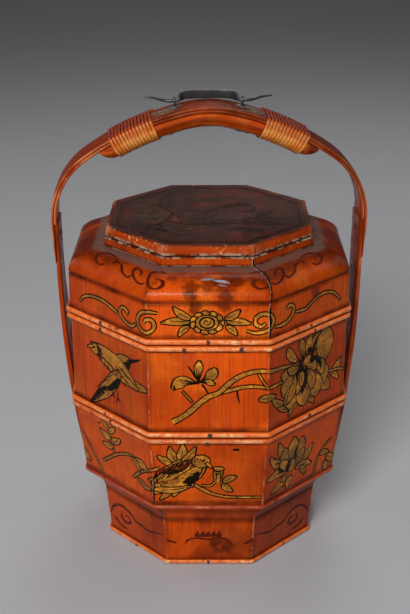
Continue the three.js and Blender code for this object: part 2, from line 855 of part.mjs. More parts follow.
function pinPlate(name, hand) {
  const corners = Array.from({ length: 4 }, (_, corner) => {
    const turn = Math.PI / 2 * corner;
    return new THREE.Vector2(Math.cos(turn), Math.sin(turn)).multiplyScalar(plateHalf);
  });
  const shape = new THREE.Shape(corners);
  const hole = new THREE.Path();
  hole.absarc(0, 0, legRadius + 2 * holeGap, 0, 2 * Math.PI, true);
  shape.holes.push(hole);
  const geometry = new THREE.ExtrudeGeometry(shape, {
    depth: plateThick,
    bevelEnabled: false,
    curveSegments: roundSides,
  });
  const { at, along } = underPin(hand, -seatGap);
  const mesh = piece(name, geometry, 'iron');
  mesh.position.copy(at);
  mesh.rotation.y = Math.atan2(-along.z, along.x);
  return mesh;
}

// How far the bail's strap tips up where it lies back on the crown
function restTilt() {
  const inner = bailReach - strapThick / 2;
  const rise = archTop + seatGap - pivotLevel;
  return Math.atan2(strapWidth / 2, inner) + Math.asin(rise / Math.hypot(inner, strapWidth / 2));
}

// The bail's line in its own plane from the strap's middle to a wing's tip: places and half sizes
function bailStations() {
  const eye = pinSpread / 2;
  const eyeRun = eyeWire + holeGap;
  const leg = bailSpan / 2;
  const turnStart = eye - eyeRun;
  const wingStart = eye + eyeRun;
  const wire = [bailWire / 2, bailWire / 2, roundShare];
  const strap = [strapThick / 2, strapWidth / 2, squareShare];
  const tip = [wingTip / 2, wingTip / 2, roundShare];
  const mix = (from, to, share) => from.map((value, place) => between(value, to[place], share));
  const rows = strapLineShares.map(([across, reach], place) => ({
    at: [leg * across, bailReach * reach],
    size: place + 1 < strapLineShares.length ? strap : mix(strap, wire, 1 / 2),
  }));
  for (const [across, reach] of elbowLineShares) {
    rows.push({ at: [between(leg, turnStart, across), elbow * reach], size: wire });
  }
  rows.push({ at: [turnStart, 0], size: wire });
  rows.push({ at: [eye, 0], size: wire });
  rows.push({ at: [wingStart, 0], size: wire });
  wingLineShares.forEach(([across, reach], place) => rows.push({
    at: [between(wingStart, wingSpan / 2, across), wingReach * reach],
    size: mix(wire, tip, place / (wingLineShares.length - 1)),
  }));
  return rows;
}

function bailShape() {
  const half = bailStations();
  const mirrored = half.slice(1).toReversed().map(({ at, size }) => ({ at: [-at[0], at[1]], size }));
  const rows = [...mirrored, ...half];
  const line = new THREE.CatmullRomCurve3(rows.map(({ at }) => new THREE.Vector3(at[0], at[1], 0)));
  const sizes = new THREE.CatmullRomCurve3(rows.map(({ size }) => new THREE.Vector3(...size)));
  const count = (rows.length - 1) * lineSteps;
  const sections = Array.from({ length: count + 1 }, (_, step) => {
    const share = step / count;
    const middle = line.getPoint(share);
    const size = sizes.getPoint(share);
    const across = zAxis.clone().cross(line.getTangent(share));
    return bailOutline(size).map(([thick, wide]) => middle.clone()
      .addScaledVector(across, thick)
      .addScaledVector(zAxis, wide));
  });
  return loft(sections);
}

function bailOutline({ x: thick, y: wide, z: flat }) {
  return [
    [thick, -wide * flat], [thick, wide * flat], [thick * roundShare, wide], [-thick * roundShare, wide],
    [-thick, wide * flat], [-thick, -wide * flat], [-thick * roundShare, -wide], [thick * roundShare, -wide],
  ];
}

function handlePieces() {
  const group = new THREE.Group();
  const pinHoles = [pinHole(-1), pinHole(1)];
  const lapHoles = [rivetHole(lapRivetLevel, -1, 0), rivetHole(lapRivetLevel, 1, 0)];
  group.add(piece('arch_outer_strip', cut(outerStripShape(), [...pinHoles, ...lapHoles]), 'bamboo'));
  group.add(piece('arch_inner_strip', cut(innerStripShape(), pinHoles), 'bamboo'));
  group.add(piece('grip', cut(gripShape(), pinHoles), 'bamboo'));
  for (const [side, hand] of [['left', -1], ['right', 1]]) {
    group.add(winding(`rattan_winding_${side}`, hand));
    group.add(splitPin(`split_pin_${side}`, hand));
    group.add(pinPlate(`pin_plate_${side}`, hand));
    const outer = (level) => archLine(archDistanceAtLevel(level)).at.x;
    group.add(piece(`lap_rivet_${side}`, rivetShape(lapRivetLevel, hand, outer, uprightInner), 'iron'));
  }
  const bail = piece('bail', bailShape(), 'iron');
  bail.position.z = pivotLevel;
  bail.rotation.x = restTilt();
  group.add(bail);
  group.rotation.z = handleTwist;
  return group;
}

function uprightPieces() {
  const group = new THREE.Group();
  for (const [side, hand] of [['left', -1], ['right', 1]]) {
    const holes = wallRivetLevels.map((level) => rivetHole(level, hand, 0));
    holes.push(rivetHole(lapRivetLevel, hand, handleTwist));
    group.add(piece(`upright_${side}`, cut(uprightShape(hand), holes), 'bamboo'));
    wallRivetLevels.forEach((level, place) => {
      const shape = rivetShape(level, hand, uprightOuter, (at) => lowerWall(at) - wallBoard);
      group.add(piece(`wall_rivet_${side}_${place + 1}`, shape, 'iron'));
    });
  }
  return group;
}

const basket = new THREE.Group();
basket.add(footPieces());
basket.add(lowerTierPieces());
basket.add(middleTierPieces());
basket.add(lidPieces());
basket.add(capPieces());
basket.add(uprightPieces());
basket.add(handlePieces());

export default basket;
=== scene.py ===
from functools import partial
from itertools import accumulate
from math import asin, atan2, ceil, copysign, cos, dist, hypot, log, pi, radians, sin, sqrt, tan

import bmesh
import bpy
from bpy.props import FloatProperty, FloatVectorProperty, IntProperty, PointerProperty
from bpy.types import Node, NodeSocket, Operator, Panel, PropertyGroup, Scene
from mathutils import Matrix, Vector, noise


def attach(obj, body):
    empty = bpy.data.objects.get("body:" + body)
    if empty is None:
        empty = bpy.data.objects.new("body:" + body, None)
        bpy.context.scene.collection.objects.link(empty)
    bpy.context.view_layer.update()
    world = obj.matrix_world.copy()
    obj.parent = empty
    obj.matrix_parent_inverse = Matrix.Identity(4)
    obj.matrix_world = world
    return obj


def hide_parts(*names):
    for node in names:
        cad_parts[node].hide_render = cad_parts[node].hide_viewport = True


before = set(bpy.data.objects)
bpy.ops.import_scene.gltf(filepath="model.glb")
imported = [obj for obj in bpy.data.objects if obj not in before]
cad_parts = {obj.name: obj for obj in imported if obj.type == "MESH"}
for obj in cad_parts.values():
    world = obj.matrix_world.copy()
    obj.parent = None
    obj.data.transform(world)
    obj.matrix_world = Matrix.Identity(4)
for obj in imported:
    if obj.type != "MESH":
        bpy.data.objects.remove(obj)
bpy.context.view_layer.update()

bl_info = {
    "name": "Tiered Food Basket",
    "version": (1, 0, 0),
    "blender": (4, 5, 0),
    "location": "View3D > Sidebar > Basket",
    "description": "Dresses an eight-sided lacquered food basket with a bent bamboo handle",
    "category": "Add Mesh",
}

MM = 0.001
SIDES = 8
HALF_SIDE = pi / SIDES
SIDE_RATIO = tan(HALF_SIDE)

# Levels and distances in millimetres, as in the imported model

FOOT_TOP = 61
FOOT_BASE = 0.4
FOOT_FLATS = (113.75, 119.5)
FOOT_WALL = 8
COVE_TOP_FLAT = 137
COVE_HOLLOW = 4
COVE_WALL = 12
LOWER = (86, 178.7)
LOWER_FLATS = (138.3, 146.9)
MIDDLE = (179, 284)
MIDDLE_FLAT = 147.3
BAND = (284.3, 328)
BAND_FLATS = (148.5, 148)
DOME = (331.3, 353.3)
DOME_FLATS = (148, 111)
COLLAR = (353.6, 362.6)
COLLAR_FLATS = (110.5, 109.7)
COLLAR_WIDTH = 7
CAP = (364.5, 374.7)
CAP_FLATS = (109, 107.7)
CAP_FRAME_WIDTH = 10
CAP_LEDGE_WIDTH, CAP_LEDGE_DROP = 5, 4.4
WALL = 5
BEAD_HEIGHT, BEAD_PROUD = 6.4, 4
RIM_BEAD_DROP = 7
LOW_BEAD_RISE = 0.6
BEAD_CLEARANCE = 0.7

HANDLE_TWIST = radians(3.4)
ARCH_TOP = 495.5
ARCH_BENDS = ((115, radians(12.5)), (304.006, radians(22.5)), (85, radians(55.8)))
ARCH_WIDTH = 46
OUTER_STRIP = 3.2
INNER_STRIP = 3
SEAT = 0.3
WAVE_ROOM = 0.15
UPRIGHT_TOP = 371.5
UPRIGHT_END = 96
UPRIGHT_WIDTH = 47
UPRIGHT_BOARDS = (4.8, 6.4)
GRIP_HALF = 125.97
GRIP_WIDTH = 50
GRIP_DEPTH = 17.5
GRIP_END_TAPER = 15
GRIP_END_DEPTH = 5
CANE_START = 60.97
PIN_SPREAD = 70.98
PIN_RISE = 2.3
PIN_WIRE = 2.3
PIN_EYE = 3.75
BAIL_REACH = 19
BAIL_WING = 32.5
STRAP_HALF = (1.1, 4.8)
LAP_RIVET_LEVEL = 356.5
WALL_RIVET_LEVELS = (103, 114)
CANE_RUN = 49.8
HANDS = (("left", -1), ("right", 1))

# Radius and height of a rivet's head and radius and length of its shank, in metres
WALL_RIVET = (0.0036, 0.0016, 0.0015, 0.007)
LAP_RIVET = (0.0034, 0.0015, 0.0015, 0.005)


def size(name, text, default, high, low=0, unit="LENGTH"):
    return FloatProperty(name=name, description=text, default=default, min=low, max=high, unit=unit,
        precision=5)


class BasketSizes(PropertyGroup):
    """Sizes that a user would change."""

    corner: size("Corner rounding", "Rounding of the walls' upright corners", 0.0024, 0.02, 0.0005)
    dome_corner: size("Dome corner rounding", "Rounding of the dome's ridges", 0.009, 0.03, 0.0005)
    bead_corner: size("Bead bend", "How tightly a bead is bent round a corner", 0.007, 0.02, 0.001)
    unevenness: size("Unevenness", "How far hand-worked faces stray from flat", 0.00035, 0.002)
    bead_wave: size("Bead wave", "How far a bead strays from its line", 0.0005, 0.002)
    knuckle: size("Bamboo knuckle", "Height of the knuckles on the beads", 0.0005, 0.002)
    cane_width: size("Cane width", "Width of the rattan round the grip", 0.0038, 0.008, 0.001)
    nail: size("Nail head", "Radius of the nails that hold the beads", 0.0026, 0.005, 0.0005)
    cane_turns: IntProperty(name="Cane turns", description="Turns in each rattan winding", default=13,
        min=4, max=20)


def linear(level):
    """A 0 to 255 screen value as linear light."""
    share = level / 255
    return share / 12.92 if share <= 0.04045 else ((share + 0.055) / 1.055) ** 2.4


def colour(name, text, *levels):
    return FloatVectorProperty(name=name, description=text, subtype="COLOR", size=3, min=0, max=1,
        default=tuple(linear(level) for level in levels))


class BasketColours(PropertyGroup):
    """Colours of the finishes."""

    lacquer: colour("Lacquer", "Orange-red lacquer of the walls", 214, 78, 8)
    # deep is also painted shade beside beads and other parts, on the slanted sides and at the grip's right
    # end
    deep: colour("Deep lacquer", "Where the lacquer is thicker or dirtier", 130, 38, 6)
    worn: colour("Worn lacquer", "Rubbed edges and corners", 234, 150, 108)
    grime: colour("Grime", "Old dust on the dome", 112, 86, 76)
    # bead_worn is also a painted highlight along the beads' crests
    bead_worn: colour("Worn bead", "Rubbed crests of the beads", 255, 208, 148)
    cap: colour("Cap", "Dark top of the cap", 76, 32, 22)
    bamboo: colour("Bamboo", "Lacquered strips of the handle", 136, 42, 8)
    bamboo_worn: colour("Worn bamboo", "Rubbed edges of the strips", 212, 128, 78)
    rattan: colour("Rattan", "Cane of the windings", 255, 152, 58)
    iron: colour("Iron", "Forged fittings", 82, 83, 85)
    board: colour("Bare board", "Plain wood inside the tiers", 128, 70, 38)
    gold: colour("Gold paint", "Painted ornament", 190, 120, 34)
    ink: colour("Ink", "Dark lines of the ornament", 20, 11, 4)
    old_paint: colour("Old paint", "Faded scrolls on the dome and the foot", 100, 28, 14)


class BasketStage(PropertyGroup):
    """The floor, the lights and the camera."""

    floor: colour("Floor", "Plain pale floor", 178, 178, 181)
    key_power: size("Main light", "Power of the large light at the left", 56, 500, unit="POWER")
    fill_power: size("Fill light", "Power of the weak lights at the sides", 5, 500, unit="POWER")
    lens: size("Lens", "Focal length for a 36 mm high frame", 66.02, 200, 20, "CAMERA")


# Node trees


class Graph:
    """Adds nodes to a tree and links them. A node given as a value stands for its first output."""

    def __init__(self, tree):
        self.tree = tree

    def node(self, kind, settings=None, **inputs):
        made = self.tree.nodes.new(kind)
        placed = len(self.tree.nodes) - 1
        made.location = (200 * (placed % 14), -260 * (placed // 14))
        for name, value in (settings or {}).items():
            setattr(made, name, value)
        self.give(made, **inputs)
        return made

    def geo(self, kind, settings=None, **inputs):
        return self.node("GeometryNode" + kind, settings, **inputs)

    def give(self, node, **values):
        """Feeds sockets by their names, with _ for a space."""
        for name, value in values.items():
            self.feed(node.inputs[name.strip("_").replace("_", " ")], value)

    def feed(self, socket, value):
        if isinstance(value, Field):
            value = value.socket
        elif isinstance(value, Node):
            value = value.outputs[0]
        if isinstance(value, NodeSocket):
            self.tree.links.new(value, socket)
        elif value is not None:
            socket.default_value = value

    def field(self, node, output=0):
        return Field(self, node.outputs[output])

    def math(self, operation, *values):
        made = self.node("ShaderNodeMath", {"operation": operation})
        for socket, value in zip(made.inputs, values):
            self.feed(socket, value)
        return self.field(made)

    def vector(self, x=0, y=0, z=0):
        return self.field(self.node("ShaderNodeCombineXYZ", X=x, Y=y, Z=z))

    def vectors(self, operation, first, second=None):
        """Vector maths."""
        made = self.node("ShaderNodeVectorMath", {"operation": operation})
        self.feed(made.inputs[0], first)
        self.feed(made.inputs["Scale" if operation == "SCALE" else 1], second)
        return self.field(made, "Value" if operation in ("LENGTH", "DISTANCE") else "Vector")

    def split(self, vector):
        made = self.node("ShaderNodeSeparateXYZ", Vector=vector)
        return [self.field(made, output) for output in range(3)]

    def ease(self, value, low, high):
        """0 below low, 1 above high and smooth between."""
        return self.field(self.node("ShaderNodeMapRange", {"interpolation_type": "SMOOTHSTEP"}, Value=value,
            From_Min=low, From_Max=high))

    def noise(self, vector, scale, detail=3, roughness=0.5, distortion=0, output="Fac"):
        made = self.node("ShaderNodeTexNoise", Vector=vector, Scale=scale, Detail=detail,
            Roughness=roughness, Distortion=distortion)
        return self.field(made, output)

    def spots(self, vector, low, high, scale, *more):
        """Noise with all of it below low left out and all above high full."""
        return self.ease(self.noise(vector, scale, *more), low, high)

    def mix(self, share, first, second):
        """Two colours mixed."""
        made = self.node("ShaderNodeMix", {"data_type": "RGBA"})
        for place, value in ((0, share), (6, first), (7, second)):
            self.feed(made.inputs[place], value)
        return self.field(made, 2)

    def stored(self, title, data_type="FLOAT"):
        """A named attribute in a geometry tree."""
        return self.field(self.geo("InputNamedAttribute", {"data_type": data_type}, Name=title))

    def store(self, geometry, title, value, data_type="FLOAT", domain="POINT"):
        return self.geo("StoreNamedAttribute", {"data_type": data_type, "domain": domain},
            Geometry=geometry, Name=title, Value=value)

    def moved(self, geometry, offset):
        return self.geo("SetPosition", Geometry=geometry, Offset=offset)

    def placed(self, geometry, position):
        return self.geo("SetPosition", Geometry=geometry, Position=position)


class Field:
    """A value in a tree. Sums and products of it add Math nodes."""

    def __init__(self, graph, socket):
        self.graph, self.socket = graph, socket

    def __abs__(self):
        return self.graph.math("ABSOLUTE", self)


for sign, operation in (("add", "ADD"), ("sub", "SUBTRACT"), ("mul", "MULTIPLY"), ("truediv", "DIVIDE"),
        ("mod", "FLOORED_MODULO"), ("pow", "POWER")):
    setattr(Field, f"__{sign}__",
        lambda self, other, operation=operation: self.graph.math(operation, self, other))
    setattr(Field, f"__r{sign}__",
        lambda self, other, operation=operation: self.graph.math(operation, other, self))


NUMBER, WHOLE, SOLID, FINISH, PLACE = ("NodeSocketFloat", "NodeSocketInt", "NodeSocketGeometry",
    "NodeSocketMaterial", "NodeSocketVector")
WARM = (1, 0.66, 0.42)


def node_tree(kind, output_type, name, outputs, *inputs):
    """Turns a function that fills a tree into one that gives the tree, made when it is first asked for.
    Each input is (name, socket type, default)."""
    def decorated(fill):
        def tree():
            if name in bpy.data.node_groups:
                return bpy.data.node_groups[name]
            made = bpy.data.node_groups.new(name, kind)
            for title, socket_type, *default in inputs:
                socket = made.interface.new_socket(name=title, in_out="INPUT", socket_type=socket_type)
                if default:
                    socket.default_value = default[0]
            for title in outputs:
                made.interface.new_socket(name=title, in_out="OUTPUT", socket_type=output_type)
            graph = Graph(made)
            source, sink = graph.node("NodeGroupInput"), graph.node("NodeGroupOutput")
            fill(graph, {item.name: Field(graph, item) for item in source.outputs if item.name}, sink)
            return made
        return tree
    return decorated


solid_tree = partial(node_tree, "GeometryNodeTree", SOLID)
mask_tree = partial(node_tree, "ShaderNodeTree", NUMBER)


@solid_tree("Eight-sided shell", ["Shell"], ("Profile", SOLID), ("Side Steps", WHOLE, 8),
    ("Corner Steps", WHOLE, 4), ("Unevenness", NUMBER), ("Grain", NUMBER, 12), ("Knuckle", NUMBER),
    ("Knuckle Spacing", NUMBER, 0.09), ("Finish", FINISH))
def shell_tree(graph, given, sink):
    """Carries a profile round eight sides. A point of the profile holds the distance to the flats (x),
    the level (z) and the rounding of the corners there."""
    count = graph.field(graph.geo("AttributeDomainSize", Geometry=given["Profile"]))
    rows = count + 1
    stations = given["Side Steps"] + given["Corner Steps"]
    total = stations * float(SIDES)
    grid = graph.geo("MeshGrid", Vertices_X=total + 1, Vertices_Y=rows)
    index = graph.field(graph.geo("InputIndex"))
    column = graph.math("FLOOR", index / rows) % total
    row = (index % rows) % count
    side = graph.math("FLOOR", column / stations)
    step = column - side * stations

    def sampled(value, data_type="FLOAT"):
        return graph.field(graph.geo("SampleIndex", {"data_type": data_type}, Geometry=given["Profile"],
            Value=value, Index=row))

    position = graph.geo("InputPosition")
    flat, _, level = graph.split(sampled(position, "FLOAT_VECTOR"))
    rounding = sampled(graph.stored("rounding"))
    marked = graph.store(grid, "crest", sampled(graph.stored("crest")))
    straight = (flat - rounding) * SIDE_RATIO
    at_corner = graph.math("GREATER_THAN", step, given["Side Steps"] - 0.5)
    bend = (step - given["Side Steps"] + 1) / (given["Corner Steps"] + 1) * (2 * HALF_SIDE)
    along_side = straight * (step / (given["Side Steps"] - 1) * 2 - 1)
    along_corner = straight + rounding * graph.math("SINE", bend)
    out = flat - at_corner * rounding * (1 - graph.math("COSINE", bend))
    along = along_side + at_corner * (along_corner - along_side)
    turn = side * (2 * HALF_SIDE)
    cosine, sine = graph.math("COSINE", turn), graph.math("SINE", turn)
    bent = graph.placed(marked, graph.vector(out * cosine - along * sine, out * sine + along * cosine,
        level))
    joined = graph.geo("MergeByDistance", Geometry=bent, Distance=0.000002)
    stray = graph.vectors("SUBTRACT", graph.noise(position, given["Grain"], 2, output="Color"), (0.5,) * 3)
    uneven = graph.moved(joined, graph.vectors("SCALE", stray, given["Unevenness"] * 2))
    x, y, z = graph.split(position)
    round_about = graph.math("ARCTAN2", y, x) * graph.vectors("LENGTH", graph.vector(x, y, 0))
    phase = (round_about / given["Knuckle Spacing"] + z * 31) % 1 - 0.5
    ridge = (1 - graph.math("MINIMUM", abs(phase) * 22, 1)) ** 2
    swollen = graph.moved(uneven,
        graph.vectors("SCALE", graph.geo("InputNormal"), ridge * given["Knuckle"]))
    finish_tree(graph, swollen, given, sink)


def finish_tree(graph, geometry, given, sink, sharp=40):
    """Realized, shaded smooth but for its sharp edges, and given its material."""
    angle = graph.field(graph.geo("InputMeshEdgeAngle"))
    marked = graph.store(graph.geo("SetShadeSmooth", Geometry=geometry), "sharp_edge",
        graph.math("GREATER_THAN", angle, radians(sharp)), "BOOLEAN", "EDGE")
    real = graph.geo("RealizeInstances", Geometry=marked)
    graph.feed(sink.inputs[0], graph.geo("SetMaterial", Geometry=real, Material=given["Finish"]))


@solid_tree("Strip along a path", ["Strips"], ("Paths", SOLID), ("Width", NUMBER, 0.004),
    ("Thickness", NUMBER, 0.0013), ("Section Points", WHOLE, 14), ("Squareness", NUMBER, 0.6),
    ("Finish", FINISH))
def path_tree(graph, given, sink):
    """A strip of an even section that follows paths. A path's points hold which way is out, and a share
    of the whole width."""
    curves = graph.geo("MeshToCurve", Mesh=given["Paths"])
    facing = graph.geo("SetCurveNormal", {"mode": "FREE"}, Curve=curves,
        Normal=graph.stored("outward", "FLOAT_VECTOR"))
    circle = graph.geo("CurvePrimitiveCircle", Resolution=given["Section Points"], Radius=1)
    x, y, _ = graph.split(graph.geo("InputPosition"))

    def squared(part, wide):
        return graph.math("SIGN", part) * abs(part) ** given["Squareness"] * wide * 0.5

    section = graph.placed(graph.store(circle, "across", y),
        graph.vector(squared(x, given["Thickness"]), squared(y, given["Width"]), 0))
    swept = graph.geo("CurveToMesh", Curve=facing, Profile_Curve=section, Scale=graph.stored("share"),
        Fill_Caps=True)
    finish_tree(graph, swept, given, sink, 60)


@solid_tree("Paint on a surface", ["Paint"], ("Slabs", SOLID), ("Surface", "NodeSocketObject"),
    ("Reach", NUMBER, 0.01), ("Finish", FINISH))
def paint_tree(graph, given, sink):
    """Lays thin closed slabs of paint on the surface under them. Their points hold which way is out and
    how high above the surface they end up."""
    outward = graph.stored("outward", "FLOAT_VECTOR")
    position = graph.geo("InputPosition")
    under = graph.geo("ObjectInfo", Object=given["Surface"])
    ray = graph.geo("Raycast", Target_Geometry=under.outputs["Geometry"],
        Source_Position=graph.vectors("ADD", position, graph.vectors("SCALE", outward, given["Reach"])),
        Ray_Direction=graph.vectors("SCALE", outward, -1), Ray_Length=given["Reach"] * 2)
    on_surface = graph.geo("Switch", {"input_type": "VECTOR"}, Switch=ray, False_=position,
        True_=ray.outputs["Hit Position"])
    laid = graph.placed(given["Slabs"],
        graph.vectors("ADD", on_surface, graph.vectors("SCALE", outward, graph.stored("lift"))))
    finish_tree(graph, laid, given, sink, 50)


@solid_tree("Domed heads", ["Heads"], ("Points", SOLID), ("Head Radius", NUMBER, 0.0017),
    ("Head Height", NUMBER, 0.0008), ("Shank Radius", NUMBER, 0.0007), ("Shank Length", NUMBER, 0.003),
    ("Seed", WHOLE, 4), ("Finish", FINISH))
def head_tree(graph, given, sink):
    """Domed nail and rivet heads on points that hold which way is out and a share of the whole size."""
    ball = graph.geo("MeshUVSphere", Segments=16, Rings=10, Radius=1)
    position = graph.geo("InputPosition")
    x, y, z = graph.split(position)
    dent = (graph.noise(position, 1.7, 2) * 0.5 + 0.75) * given["Head Radius"]
    dome = graph.placed(ball,
        graph.vector(x * dent, y * dent, graph.math("MAXIMUM", z, -0.3) * given["Head Height"]))
    shank = graph.geo("MeshCylinder", Vertices=12, Radius=given["Shank Radius"], Depth=given["Shank Length"])
    sunk = graph.geo("Transform", Geometry=shank,
        Translation=graph.vector(0, 0, given["Shank Length"] * -0.5))
    both = graph.geo("JoinGeometry")
    for part in (dome, sunk):
        graph.feed(both.inputs[0], part)
    turn = graph.node("FunctionNodeAlignRotationToVector", {"axis": "Z"},
        Vector=graph.stored("outward", "FLOAT_VECTOR"))
    spin = graph.node("FunctionNodeRandomValue", {"data_type": "FLOAT_VECTOR"}, Seed=given["Seed"],
        Min=(-0.12, -0.12, -3), Max=(0.12, 0.12, 3))
    turned = graph.node("FunctionNodeRotateRotation", {"rotation_space": "LOCAL"}, Rotation=turn,
        Rotate_By=spin)
    finish_tree(graph, graph.geo("InstanceOnPoints", Points=given["Points"], Instance=both, Rotation=turned,
        Scale=graph.stored("share")), given, sink)


def linked(name, data):
    made = bpy.data.objects.new(name, data)
    bpy.context.scene.collection.objects.link(made)
    return made


def grown(name, source, tree, **values):
    """The plain mesh object that a Geometry Nodes tree makes from a source mesh."""
    holder = linked(name, source)
    modifier = holder.modifiers.new("Form", "NODES")
    modifier.node_group = tree()
    for item in tree().interface.items_tree:
        title = item.name.replace(" ", "_")
        if title in values:
            modifier[item.identifier] = values[title]
    depsgraph = bpy.context.evaluated_depsgraph_get()
    mesh = bpy.data.meshes.new_from_object(holder.evaluated_get(depsgraph), depsgraph=depsgraph)
    bpy.data.objects.remove(holder)
    bpy.data.meshes.remove(source)
    mesh.name = name
    turn_outwards(mesh)
    return linked(name, mesh)


def turn_outwards(mesh, sharp=None):
    """Turns each closed part so that its faces point out. sharp is the angle from which an edge between
    smooth faces stays sharp."""
    shape = bmesh.new()
    shape.from_mesh(mesh)
    waiting = set(shape.faces)
    while waiting:
        island = [waiting.pop()]
        for face in island:
            near = {other for edge in face.edges for other in edge.link_faces} & waiting
            waiting -= near
            island += near
        volume = sum(face.verts[0].co.dot(here.co.cross(after.co)) for face in island
            for here, after in zip(face.verts[1:], face.verts[2:]))
        for face in island if volume < 0 else ():
            face.normal_flip()
    if sharp:
        for face in shape.faces:
            face.smooth = True
        for edge in shape.edges:
            edge.smooth = edge.calc_face_angle(0) < sharp
    shape.to_mesh(mesh)
    shape.free()


def source_mesh(name, points, edges=(), faces=(), **attributes):
    """A mesh with named attributes. Millimetres in, metres out."""
    mesh = bpy.data.meshes.new(name)
    mesh.from_pydata([tuple(part * MM for part in point) for point in points], edges, faces)
    for title, values in attributes.items():
        if isinstance(values[0], (int, float)):
            mesh.attributes.new(title, "FLOAT", "POINT").data.foreach_set("value", values)
        else:
            mesh.attributes.new(title, "FLOAT_VECTOR", "POINT").data.foreach_set("vector",
                [part for value in values for part in value])
    return mesh


def keep(piece, body, slot, *nodes):
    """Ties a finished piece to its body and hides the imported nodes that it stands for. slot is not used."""
    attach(piece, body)
    if nodes:
        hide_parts(*nodes)
    return piece


def between(low, high, share):
    return low + (high - low) * share


# Outlines of [distance to the flats, level], in millimetres


def softened(outline, radius, steps=3):
    """A closed outline with its corners rounded."""
    made = []
    for place, here in enumerate(outline):
        here = Vector(here[:2])
        before = Vector(outline[place - 1][:2]) - here
        after = Vector(outline[(place + 1) % len(outline)][:2]) - here
        if before.angle(after, pi) > radians(155):
            made.append(tuple(here))
            continue
        reach = min(radius, before.length * 0.4, after.length * 0.4)
        start = here + before.normalized() * reach
        end = here + after.normalized() * reach
        for step in range(steps + 1):
            share = step / steps
            point = start * (1 - share) ** 2 + here * 2 * share * (1 - share) + end * share ** 2
            made.append(tuple(point))
    return made


def divided(outline, longest):
    """A closed outline with points added where it runs far without one."""
    made = []
    for place, here in enumerate(outline):
        here, after = Vector(here), Vector(outline[(place + 1) % len(outline)])
        count = max(1, ceil((after - here).length / longest))
        made += [tuple(here.lerp(after, step / count)) for step in range(count)]
    return made


def wall_outline(flats, levels, thick=WALL, soft=0.7):
    outline = [(flats[0], levels[0]), (flats[1], levels[1]), (flats[1] - thick, levels[1]),
        (flats[0] - thick, levels[0])]
    return divided(softened(outline, soft), 14)


def shell(name, outline, finish, rounding, side_steps=9, corner_steps=4, wave=None, knuckle=0.0, grain=12.0,
        crest=None):
    """An eight-sided shell from a closed outline. rounding is a size in metres, or one for each point."""
    points = [(flat, 0, level) for flat, level in outline]
    edges = [(place, (place + 1) % len(points)) for place in range(len(points))]
    source = source_mesh(name + "_profile", points, edges, crest=crest or [0] * len(points),
        rounding=rounding if isinstance(rounding, list) else [rounding] * len(points))
    return grown(name, source, shell_tree, Side_Steps=side_steps, Corner_Steps=corner_steps, Grain=grain,
        Knuckle=knuckle, Finish=finish,
        Unevenness=bpy.context.scene.basket_sizes.unevenness if wave is None else wave)


def bead(name, body, node, wall_at, base, height=BEAD_HEIGHT, proud=BEAD_PROUD, finish=None, knuckle=None,
        slot="bamboo_bead"):
    """A half-round strip of split bamboo that is bent round a wall."""
    sizes = bpy.context.scene.basket_sizes
    outline, crest = [], []
    for turn in spaced(-pi / 2, pi / 2, count=12):
        level = base + height / 2 * (1 + sin(turn))
        crest.append(max(cos(turn), 0))
        outline.append((wall_at(level) + 0.1 + (proud + 0.1) * crest[-1], level))
    made = shell(name, outline, finish or shared(bead_finish, "Split bamboo bead"), sizes.bead_corner, 34,
        6, sizes.bead_wave, sizes.knuckle if knuckle is None else knuckle, 20.0, crest)
    keep(made, body, slot, node)


def foot_wall(level):
    return between(*FOOT_FLATS, level / FOOT_TOP)


def lower_wall(level):
    return between(*LOWER_FLATS, (level - LOWER[0]) / (LOWER[1] - LOWER[0]))


def middle_wall(level):
    return MIDDLE_FLAT


def band_wall(level):
    return between(*BAND_FLATS, (level - BAND[0]) / (BAND[1] - BAND[0]))


# Shader groups


@mask_tree("Corner wear", ["Wear", "Dim", "Flat Distance", "Slanted"], ("Position", PLACE),
    ("Width", NUMBER, 0.0009), ("Break-up", NUMBER, 70))
def corner_wear_tree(graph, given, sink):
    """Masks for an eight-sided wall: a thin rubbed line and a wider dim band at its upright corners, and
    the four slanted sides."""
    place, width = given["Position"], given["Width"]
    x, y, _ = graph.split(place)
    across, deep = abs(x), abs(y)
    square = graph.math("MAXIMUM", across, deep)
    slanted = (across + deep) * sqrt(0.5)
    from_corner = abs(square - slanted)
    broken = graph.noise(place, given["Break-up"], 5, 0.7)
    near = 1 - graph.ease(from_corner, width * 0.1, width * (broken * 2.2))
    dim = 1 - graph.ease(from_corner, width * 1.2, width * 5)
    graph.give(sink, Wear=near * graph.ease(broken, 0.45, 0.6),
        Dim=dim * graph.spots(place, 0.35, 0.65, 23), Flat_Distance=graph.math("MAXIMUM", square, slanted),
        Slanted=graph.ease(slanted - square, -0.0005, 0.0015))


@mask_tree("Upright grain", ["Lines", "Broad", "Height"], ("Position", PLACE), ("Fineness", NUMBER, 420),
    ("Length", NUMBER, 0.035))
def upright_grain_tree(graph, given, sink):
    """Fine upright grain of a board under its lacquer."""
    squeezed = graph.vectors("MULTIPLY", given["Position"], graph.vector(1, 1, given["Length"]))
    lines = graph.noise(squeezed, given["Fineness"], 4, 0.6)
    broad = graph.noise(squeezed, given["Fineness"] * 0.16, 3, 0.55, 0.4)
    graph.give(sink, Lines=graph.ease(lines, 0.4, 0.68), Broad=graph.ease(broad, 0.32, 0.7),
        Height=lines * 0.7 + broad * 0.3)


